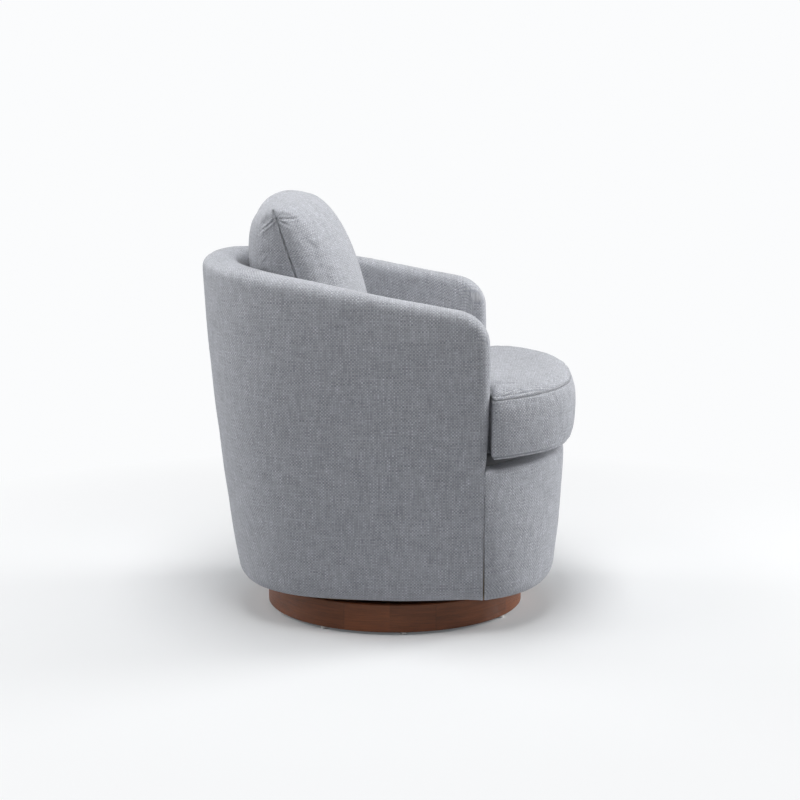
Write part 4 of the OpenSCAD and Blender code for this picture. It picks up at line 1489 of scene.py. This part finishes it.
        sheets = [(points[:, ::-1], threads[:, ::-1]) for points, threads in parts]
        obj = Bench.joined("cushion_seat", *sheets)
        close_poles(obj)
        upper, lower = self.thicken(boxing[-1]), self.thicken(boxing[0])
        Stuffing(hold=4 * MM).inflate(obj, np.concatenate([upper, lower]), self.limit)
        points = Bench.points(obj)
        points[:, 2] = np.maximum(points[:, 2], self.low)
        Bench.move(obj, points)
        upper, lower = settle(obj, upper), settle(obj, lower)
        stitch = settle(obj, self.thicken(top[2]))
        Stuffing.refine(obj, np.concatenate([upper, lower, stitch]), 8 * MM, 2)
        sew(obj, upper, *self.upper_seam)
        sew(obj, stitch, *self.stitching)
        sew(obj, lower, *self.lower_seam)
        Bench.outwards(obj)
        Bench.smooth(obj)
        return hand_over(obj, self.cloth, Body.SEAT, ["seat_cushion"])

    @staticmethod
    def thicken(loop: Array, times: int = 6) -> Array:
        """A closed outline with more points along it.

        Args:
            loop: the outline.
            times: how many steps each of its steps becomes.

        Returns:
            The finer outline.
        """
        place = np.arange(len(loop))
        fine = np.linspace(0, len(loop) - 1, (len(loop) - 1) * times)
        return np.column_stack([np.interp(fine, place, loop[:, axis]) for axis in range(3)])


def close_poles(obj: bpy.types.Object) -> None:
    """Fills the small holes in a closed form's mesh, each by itself."""
    Bench.edit(obj, lambda: bpy.ops.mesh.fill_holes(sides=0))
    Bench.outwards(obj)


def sew(obj: bpy.types.Object, line: Array, depth: float, width: float, lip: float) -> None:
    """Sinks a seam into a stuffed mesh, with a soft lip on both sides and slight gathers along it.

    Args:
        obj: the stuffed mesh, fine enough near the line.
        line: points along the seam.
        depth: how deep the seam sinks.
        width: how wide it is.
        lip: how far the cloth beside it stands up.
    """
    far, which = distance_to(Bench.points(obj), line)
    run = cumulative(line[None])[0][which]
    gather, gather_run, drift_run = 0.35, 5.5 * MM, 23 * MM
    gathers = 1 + gather * np.sin(run / gather_run) * np.sin(run / drift_run + 1)
    lip_place, lip_width = 4.2 * MM, 2.4 * MM
    groove = depth * np.exp(-((far / width) ** 2))
    lips = lip * np.exp(-(((far - lip_place) / lip_width) ** 2))
    Bench.press(obj, (groove - lips) * gathers)


@dataclass
class BackPillow:
    """The loose back pillow: thick in the middle, with a seam down each end and pinched upper corners."""

    cloth: bpy.types.Material
    width: float = 466 * MM
    height: float = 320 * MM
    back_reach: float = 91 * MM
    front_reach: float = 100 * MM
    back_taper: float = 0.035
    front_taper: float = 0.069
    back_power: float = 1.89
    front_power: float = 2.576
    lean: float = 14.6
    y: float = 169.7 * MM
    z: float = 635.4 * MM
    power: float = 2.4
    end_share: float = 0.03
    side_share: float = 0.86
    seam_line: Triple = (165.6 * MM, 649.5 * MM, 0.332)
    seam_ends: tuple[float, float] = (774 * MM, 500 * MM)
    push: tuple[float, float] = (1.0 * MM, 3.0 * MM)
    push_from: float = 500 * MM
    push_fade: float = 50 * MM
    end_stitching: Triple = (3.0 * MM, 1.0 * MM, 0.5 * MM)
    knot: tuple[float, float] = (202, 758.7)
    crease_ends: tuple[tuple[tuple[float, float], float, float], ...] = (
        ((231, 733), 1.3, 1.6),
        ((184, 771), 1.1, 1.5),
        ((160, 757), 1.2, 1.8),
        ((172, 742), 0.8, 2.2),
        ((211, 778), 1.2, 1.0),
        ((186, 729), 0.8, 1.8),
    )

    def end(self, u: Array) -> Array:
        """The thickness at u as a share of the middle's."""
        return self.end_share + (1 - self.end_share) * (1 - np.abs(u) ** 2.6) ** 0.45

    def tall(self, u: Array) -> Array:
        """The height at u as a share of the middle's."""
        return self.side_share + (1 - self.side_share) * (1 - np.abs(u) ** 2.2) ** 0.6

    def reach(self, up: Array, back: Array) -> Array:
        """From the middle plane out to the surface.

        Args:
            up: shares of half the height, up or down.
            back: true behind the plane, false in front.

        Returns:
            The distances.
        """
        power = np.where(back, self.back_power, self.front_power)
        far = np.where(back, self.back_reach, self.front_reach)
        taper = np.where(back, self.back_taper, self.front_taper)
        return far * (1 - taper * up) * np.maximum(0, 1 - np.abs(up) ** power) ** (1 / power)

    def mid(self, u: Array, z: Array) -> Array:
        """How far back the middle plane lies. At an end it follows the seam.

        Args:
            u: places from end to end, -1 to 1.
            z: heights.

        Returns:
            The plane's y.
        """
        end = np.abs(u) ** 8
        y, height, slope = self.seam_line
        plane = self.y + (z - self.z) * math.tan(math.radians(self.lean))
        return plane * (1 - end) + (y + (z - height) * slope) * end

    def loop(self, u: Array, turn: Array) -> Array:
        """Points of the pillow's form.

        Args:
            u: places from end to end, -1 to 1.
            turn: angles round its section.

        Returns:
            The points, in the last axis.
        """
        c, s = np.cos(turn), np.sin(turn)
        up = np.sign(s) * np.abs(s) ** (2 / self.power)
        out = np.where(c > 0, 1, -1) * self.reach(up, c > 0) * self.end(u)
        high = up * self.height / 2 * self.tall(u)
        z = self.z + high
        return np.stack([u * self.width / 2 + 0 * up, self.mid(u, z) + out, z], axis=-1)

    def limit(self, points: Array) -> Array:
        """How far the stuffing may push each point: less where the pillow lies on the cushion."""
        least, higher_up = self.push
        return least + np.clip((points[:, 2] - self.push_from) / self.push_fade, 0, 1) * higher_up

    def build(self) -> bpy.types.Object:
        """Makes the stuffed pillow with its end seams and creases.

        Returns:
            The pillow.
        """
        u = np.sin(np.linspace(-np.pi / 2, np.pi / 2, 73))[:, None]
        turn = np.linspace(0, math.tau, 193)[None, :]
        points = self.loop(u, turn)
        across = cumulative(points.transpose(1, 0, 2)).T
        across = across - across[[36]]
        around = cumulative(points)
        weave = np.stack([across, np.tile(around[36], (len(u), 1))], axis=-1)
        obj = Bench.joined("pillow_back", (points, weave))
        close_poles(obj)
        seams = [self.end_seam(side) for side in Side]
        Stuffing(voxel=5 * MM, hold=5 * MM).inflate(obj, np.concatenate(seams), self.limit)
        for side, seam in zip(Side, seams):
            seam = settle(obj, seam)
            creases = [(settle(obj, line), depth, breadth) for line, depth, breadth in self.creases(side)]
            lines = np.concatenate([seam] + [line for line, _, _ in creases])
            Stuffing.refine(obj, lines, 9 * MM, 2)
            sew(obj, seam, *self.end_stitching)
            pinch(obj, creases)
        Bench.outwards(obj)
        Bench.smooth(obj)
        return hand_over(obj, self.cloth, Body.PILLOW, ["back_pillow"])

    def on_end(self, side: Side, y: Array, z: Array) -> Array:
        """Points on the pillow's surface at one end.

        Args:
            side: which end.
            y: places along y.
            z: places along z.

        Returns:
            The surface's point over each.
        """
        share = np.linspace(1, 0, 500)[None, :]
        rise = (z - self.z)[:, None]
        off = y[:, None] - self.mid(share, z[:, None])
        up = rise / (self.height / 2 * self.tall(share))
        room = self.reach(np.clip(up, -1, 1), off > 0) * self.end(share) - np.abs(off)
        inside = (room >= 0) & (np.abs(up) < 1)
        u = share[0][np.where(inside.any(axis=1), inside.argmax(axis=1), -1)]
        return np.stack([side.value * u * self.width / 2, y, z], axis=-1)

    def end_seam(self, side: Side) -> Array:
        """The seam down one end, from the pinched corner to the bottom.

        Args:
            side: which end.

        Returns:
            Points along it.
        """
        z = np.linspace(*self.seam_ends, 320)
        y, height, slope = self.seam_line
        return self.on_end(side, y + (z - height) * slope, z)

    def creases(self, side: Side) -> list[tuple[Array, float, float]]:
        """The creases that run out of one end's pinched corner.

        Args:
            side: which end.

        Returns:
            Each one's points, depth and breadth.
        """
        knot = np.array(self.knot) * MM
        out = []
        for end, depth, breadth in self.crease_ends:
            t = np.linspace(0, 1, 60)[:, None]
            way = knot + t * (np.array(end) * MM - knot)
            out.append((self.on_end(side, way[:, 0], way[:, 1]), depth * MM, breadth * MM))
        return out


def pinch(obj: bpy.types.Object, creases: Sequence[tuple[Array, float, float]]) -> None:
    """Presses creases into a mesh that start at one knot and fade out, each with a fold beside it.

    Args:
        obj: the stuffed mesh, fine enough near the creases.
        creases: each one's points from the knot, its depth and its breadth.
    """
    points = Bench.points(obj)
    groove, fold = np.zeros(len(points)), np.zeros(len(points))
    for line, depth, breadth in creases:
        far, which = distance_to(points, line)
        fade = (1 - which / (len(line) - 1)) ** 0.6
        groove = np.maximum(groove, depth * fade * np.exp(-((far / breadth) ** 2)))
        beside = (far - 2.3 * breadth) / (1.1 * breadth)
        fold = np.maximum(fold, 0.75 * depth * fade * np.exp(-(beside**2)))
    Bench.press(obj, groove - fold)


@dataclass
class Deck:
    """What lies under the loose cushion, and under the tub: the padded platform and the dust cover."""

    form: TubForm
    cloth: bpy.types.Material
    lining: bpy.types.Material
    low: float = 313.3 * MM
    high: float = 337.0 * MM
    sag: float = 1.6 * MM
    edge_round: float = 6 * MM
    edge_step: float = 0.25 * MM
    edge_reach: float = 250 * MM
    cover_z: float = 67.6 * MM
    cover_sag: float = 1.0 * MM
    cover_inset: float = 30 * MM
    hole: float = 177 * MM
    side_gap: float = 0.8 * MM
    front_inset: float = 54.6 * MM
    cover_thick: float = 0.6 * MM

    @staticmethod
    def ring(outline: Array, z: float) -> Array:
        """An outline's points, all at height z."""
        return np.column_stack([outline[:, :2], np.full(len(outline), z)])

    def platform(self) -> bpy.types.Object:
        """Makes the padded platform, slightly slack in its middle, with a rounded edge.

        Returns:
            The platform.
        """
        count = 180
        edge = self.form.outline(self.low, self.form.wall + self.side_gap, self.front_inset, count)
        top = np.linspace(0.02, 0.97, 22)
        turn = np.linspace(0, np.pi / 2, 6)
        under = np.array([1.0, 0.7, 0.35, 0.02])
        shares = np.concatenate([top, 1 - self.edge_round * (1 - np.sin(turn)) / self.edge_reach, under])
        heights = np.concatenate([
            self.high - self.sag * (1 - top) - self.edge_step,
            self.high - self.edge_round * (1 - np.cos(turn)),
            np.full_like(under, self.low),
        ])
        points = np.array([self.ring(edge * share, z) for share, z in zip(shares, heights)])
        obj = Bench.joined("deck_platform", (points, points[..., :2]))
        close_poles(obj)
        Bench.smooth(obj, 50.0)
        return hand_over(obj, self.cloth, Body.CHAIR, ["deck_pad"])

    def dust_cover(self) -> bpy.types.Object:
        """Makes the black cloth under the tub, open round the swivel.

        Returns:
            The cloth.
        """
        count = 144
        outer = self.form.outline(67 * MM, self.cover_inset, self.cover_inset, count)
        turn = np.linspace(-np.pi, np.pi, count + 1)
        square = self.hole / 2 / np.maximum(np.abs(np.cos(turn)), np.abs(np.sin(turn)))
        inner = np.stack([square * np.cos(turn), square * np.sin(turn), 0 * turn], axis=-1)
        shares = np.linspace(0, 1, 9)
        heights = self.cover_z - self.cover_sag * np.sin(math.pi * shares)
        steps = zip(shares, heights)
        points = np.array([self.ring(inner + (outer - inner) * share, z) for share, z in steps])
        obj = Bench.joined("dust_cloth", (points, points[..., :2]))
        Bench.modify(obj, "SOLIDIFY", thickness=self.cover_thick, offset=0.0)
        Bench.apply_all(obj)
        Bench.outwards(obj)
        Bench.smooth(obj, 40.0)
        return hand_over(obj, self.lining, Body.CHAIR, ["dust_cover"])


@dataclass
class RigidParts:
    """The pieces that keep their own solids: plinth, glides, swivel, frame, webbing and zips."""

    def build(self) -> None:
        """Gives every one of them its finish."""
        walnut = WalnutFinish("walnut_veneer").build()
        nylon = PlainFinish("white_nylon", (0.80, 0.79, 0.76), 0.45).build()
        zinc = PlainFinish("zinc_plate", (0.62, 0.64, 0.67), 0.34, 1.0, stretch=(1.0, 14.0, 1.0)).build()
        ball = PlainFinish("ball_steel", (0.78, 0.79, 0.81), 0.16, 1.0, cloud=0.03).build()
        bolt = PlainFinish("bright_zinc", (0.70, 0.71, 0.72), 0.28, 1.0).build()
        plywood = SawnWoodFinish("birch_plywood", ply=1.5 * MM).build()
        sawn = SawnWoodFinish("sawn_hardwood", (0.50, 0.355, 0.21)).build()
        rails = SawnWoodFinish("bent_rail_wood", (0.52, 0.37, 0.22), (8.0, 8.0, 30.0)).build()
        webbing = WebbingFinish("elastic_webbing").build()
        zips = ZipFinish("coil_zip").build()
        finishes = {
            "plinth_ring": walnut, "plinth_deck": plywood, "bottom_board": plywood, "front_board": plywood,
            "swivel_lower_plate": zinc, "swivel_upper_plate": zinc, "swivel_pivot": zinc,
            "swivel_ball_ring": ball, "lower_screws": bolt, "upper_bolts": bolt, "tee_nuts": bolt,
            "front_cleat": rails, "seat_rail": rails, "top_rail": rails,
            "webbing_long": webbing, "webbing_cross": webbing, "seat_zip": zips, "pillow_zip": zips,
        }
        for number in range(1, 9):
            finishes[f"glide_{number}"] = nylon
        for side in Side:
            for post in ("front_post", "side_rib", "corner_rib", "back_rib"):
                finishes[f"{post}_{side.word}"] = sawn
        for name, material in finishes.items():
            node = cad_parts[name]
            node.data.materials.clear()
            node.data.materials.append(material)
            Bench.smooth(node, 35.0)
            LOG.info("%s: %s", name, material.name)


@dataclass(frozen=True)
class Lamp:
    """A soft rectangular lamp that points at the chair's middle."""

    name: str
    place: Triple
    size: tuple[float, float]
    power: float
    target: Triple = (0.0, 0.0, 0.35)

    def build(self) -> None:
        """Hangs the lamp."""
        data = bpy.data.lights.new(self.name, "AREA")
        data.shape = "RECTANGLE"
        data.size, data.size_y = self.size
        data.energy = self.power
        obj = bpy.data.objects.new(self.name, data)
        obj.location = self.place
        way = Vector(self.target) - Vector(self.place)
        obj.rotation_euler = way.to_track_quat("-Z", "Y").to_euler()
        bpy.context.collection.objects.link(obj)


LAMPS = (
    Lamp("top_near", (-0.9, 0.0, 2.7), (0.8, 2.0), 48.0),
    Lamp("top_far", (0.3, 0.0, 2.8), (1.6, 2.0), 15.0),
    Lamp("top_back", (-0.8, 1.8, 2.3), (1.2, 1.0), 15.0),
    Lamp("front", (0.8, -2.8, 1.2), (1.2, 1.6), 86.0),
    Lamp("back", (0.8, 2.8, 1.2), (1.2, 1.6), 47.0),
)


@dataclass
class Studio:
    """The pale floor, the white surroundings, the soft lamps and the camera."""

    place: Triple = (-3.3394, -0.1299, 0.9606)
    way: Triple = (0.98536, 0.03537, -0.16678)
    lens: float = 79.0
    white: Triple = (0.965, 0.972, 0.98)
    sky: Triple = (0.96, 0.98, 1.0)
    sky_strength: float = 0.02
    floor_size: float = 60.0
    floor_colour: Triple = (0.62, 0.63, 0.65)
    floor_lit: Triple = (0.66, 0.665, 0.67)
    floor_glow: Triple = (0.10, 0.105, 0.11)
    near: float = 0.45
    far: float = 1.5

    def camera(self) -> None:
        """Sets up the camera at the photograph's viewing angle."""
        data = bpy.data.cameras.new("camera")
        data.lens = self.lens
        data.sensor_width = 36.0
        data.clip_end = 60.0
        obj = bpy.data.objects.new("camera", data)
        obj.location = self.place
        obj.rotation_euler = Vector(self.way).to_track_quat("-Z", "Y").to_euler()
        bpy.context.collection.objects.link(obj)
        bpy.context.scene.camera = obj

    def floor(self) -> None:
        """Lays a wide pale floor that fades into the surroundings and keeps the chair's shadow."""
        bpy.ops.object.select_all(action="DESELECT")
        bpy.ops.mesh.primitive_plane_add(size=self.floor_size, location=(0, 0, 0))
        obj = bpy.context.active_object
        obj.name = "floor"
        shop = NodeShop.of("pale_floor")
        x, y, _ = shop.place()
        away = ((shop.from_axis(x, y) - self.near) / (self.far - self.near)).clamped()
        to_camera = shop.wire(shop.node("LightPath"), "Is Camera Ray")
        lit = shop.node("BsdfDiffuse", None, {"Color": self.floor_lit})
        glow = shop.node("Emission", None, {"Color": self.floor_glow})
        white = shop.node("Emission", None, {"Color": self.white})
        plain = shop.node("BsdfDiffuse", None, {"Color": self.floor_colour})
        shaded = shop.node("AddShader", None, {0: lit, 1: glow})
        faded = shop.node("MixShader", None, {0: away, 1: shaded, 2: white})
        Bench.dress(obj, shop.close(shop.node("MixShader", None, {0: to_camera, 1: plain, 2: faded})))

    def surroundings(self) -> None:
        """Makes the world white to the camera and in glossy surfaces, and a soft light for the rest."""
        shop = NodeShop(bpy.data.worlds.new("studio"))
        path = shop.node("LightPath")
        seen = shop.wire(path, "Is Camera Ray").larger(shop.wire(path, "Is Glossy Ray"))
        light = shop.node("Background", None, {"Color": self.sky, "Strength": self.sky_strength})
        white = shop.node("Background", None, {"Color": self.white, "Strength": 1.0})
        world = shop.close(shop.node("MixShader", None, {0: seen, 1: light, 2: white}))
        bpy.context.scene.world = world

    def build(self) -> None:
        """Builds the whole studio."""
        bpy.context.scene.view_settings.view_transform = "Standard"
        self.camera()
        self.floor()
        self.surroundings()
        for lamp in LAMPS:
            lamp.build()


def main() -> None:
    """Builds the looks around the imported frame, piece by piece."""
    logging.basicConfig(level=logging.INFO, format="%(name)s %(message)s")
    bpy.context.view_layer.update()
    form = TubForm()
    cloth = LinenFinish("linen_cloth").build()
    Studio().build()
    RigidParts().build()
    for cover in TubCovers(form, cloth).build():
        LOG.info("%s: %d faces", cover.name, len(cover.data.polygons))
    platform_cloth = PlainFinish("platform_cloth", (0.255, 0.26, 0.275), 0.9).build()
    lining = PlainFinish("black_nonwoven", (0.012, 0.012, 0.014), 0.9, relief=0.15 * MM).build()
    deck = Deck(form, platform_cloth, lining)
    cushion, pillow = SeatCushion(form, cloth), BackPillow(cloth)
    for piece in (deck.platform(), deck.dust_cover(), cushion.build(), pillow.build()):
        LOG.info("%s: %d faces", piece.name, len(piece.data.polygons))


if __name__ == "__main__":
    main()
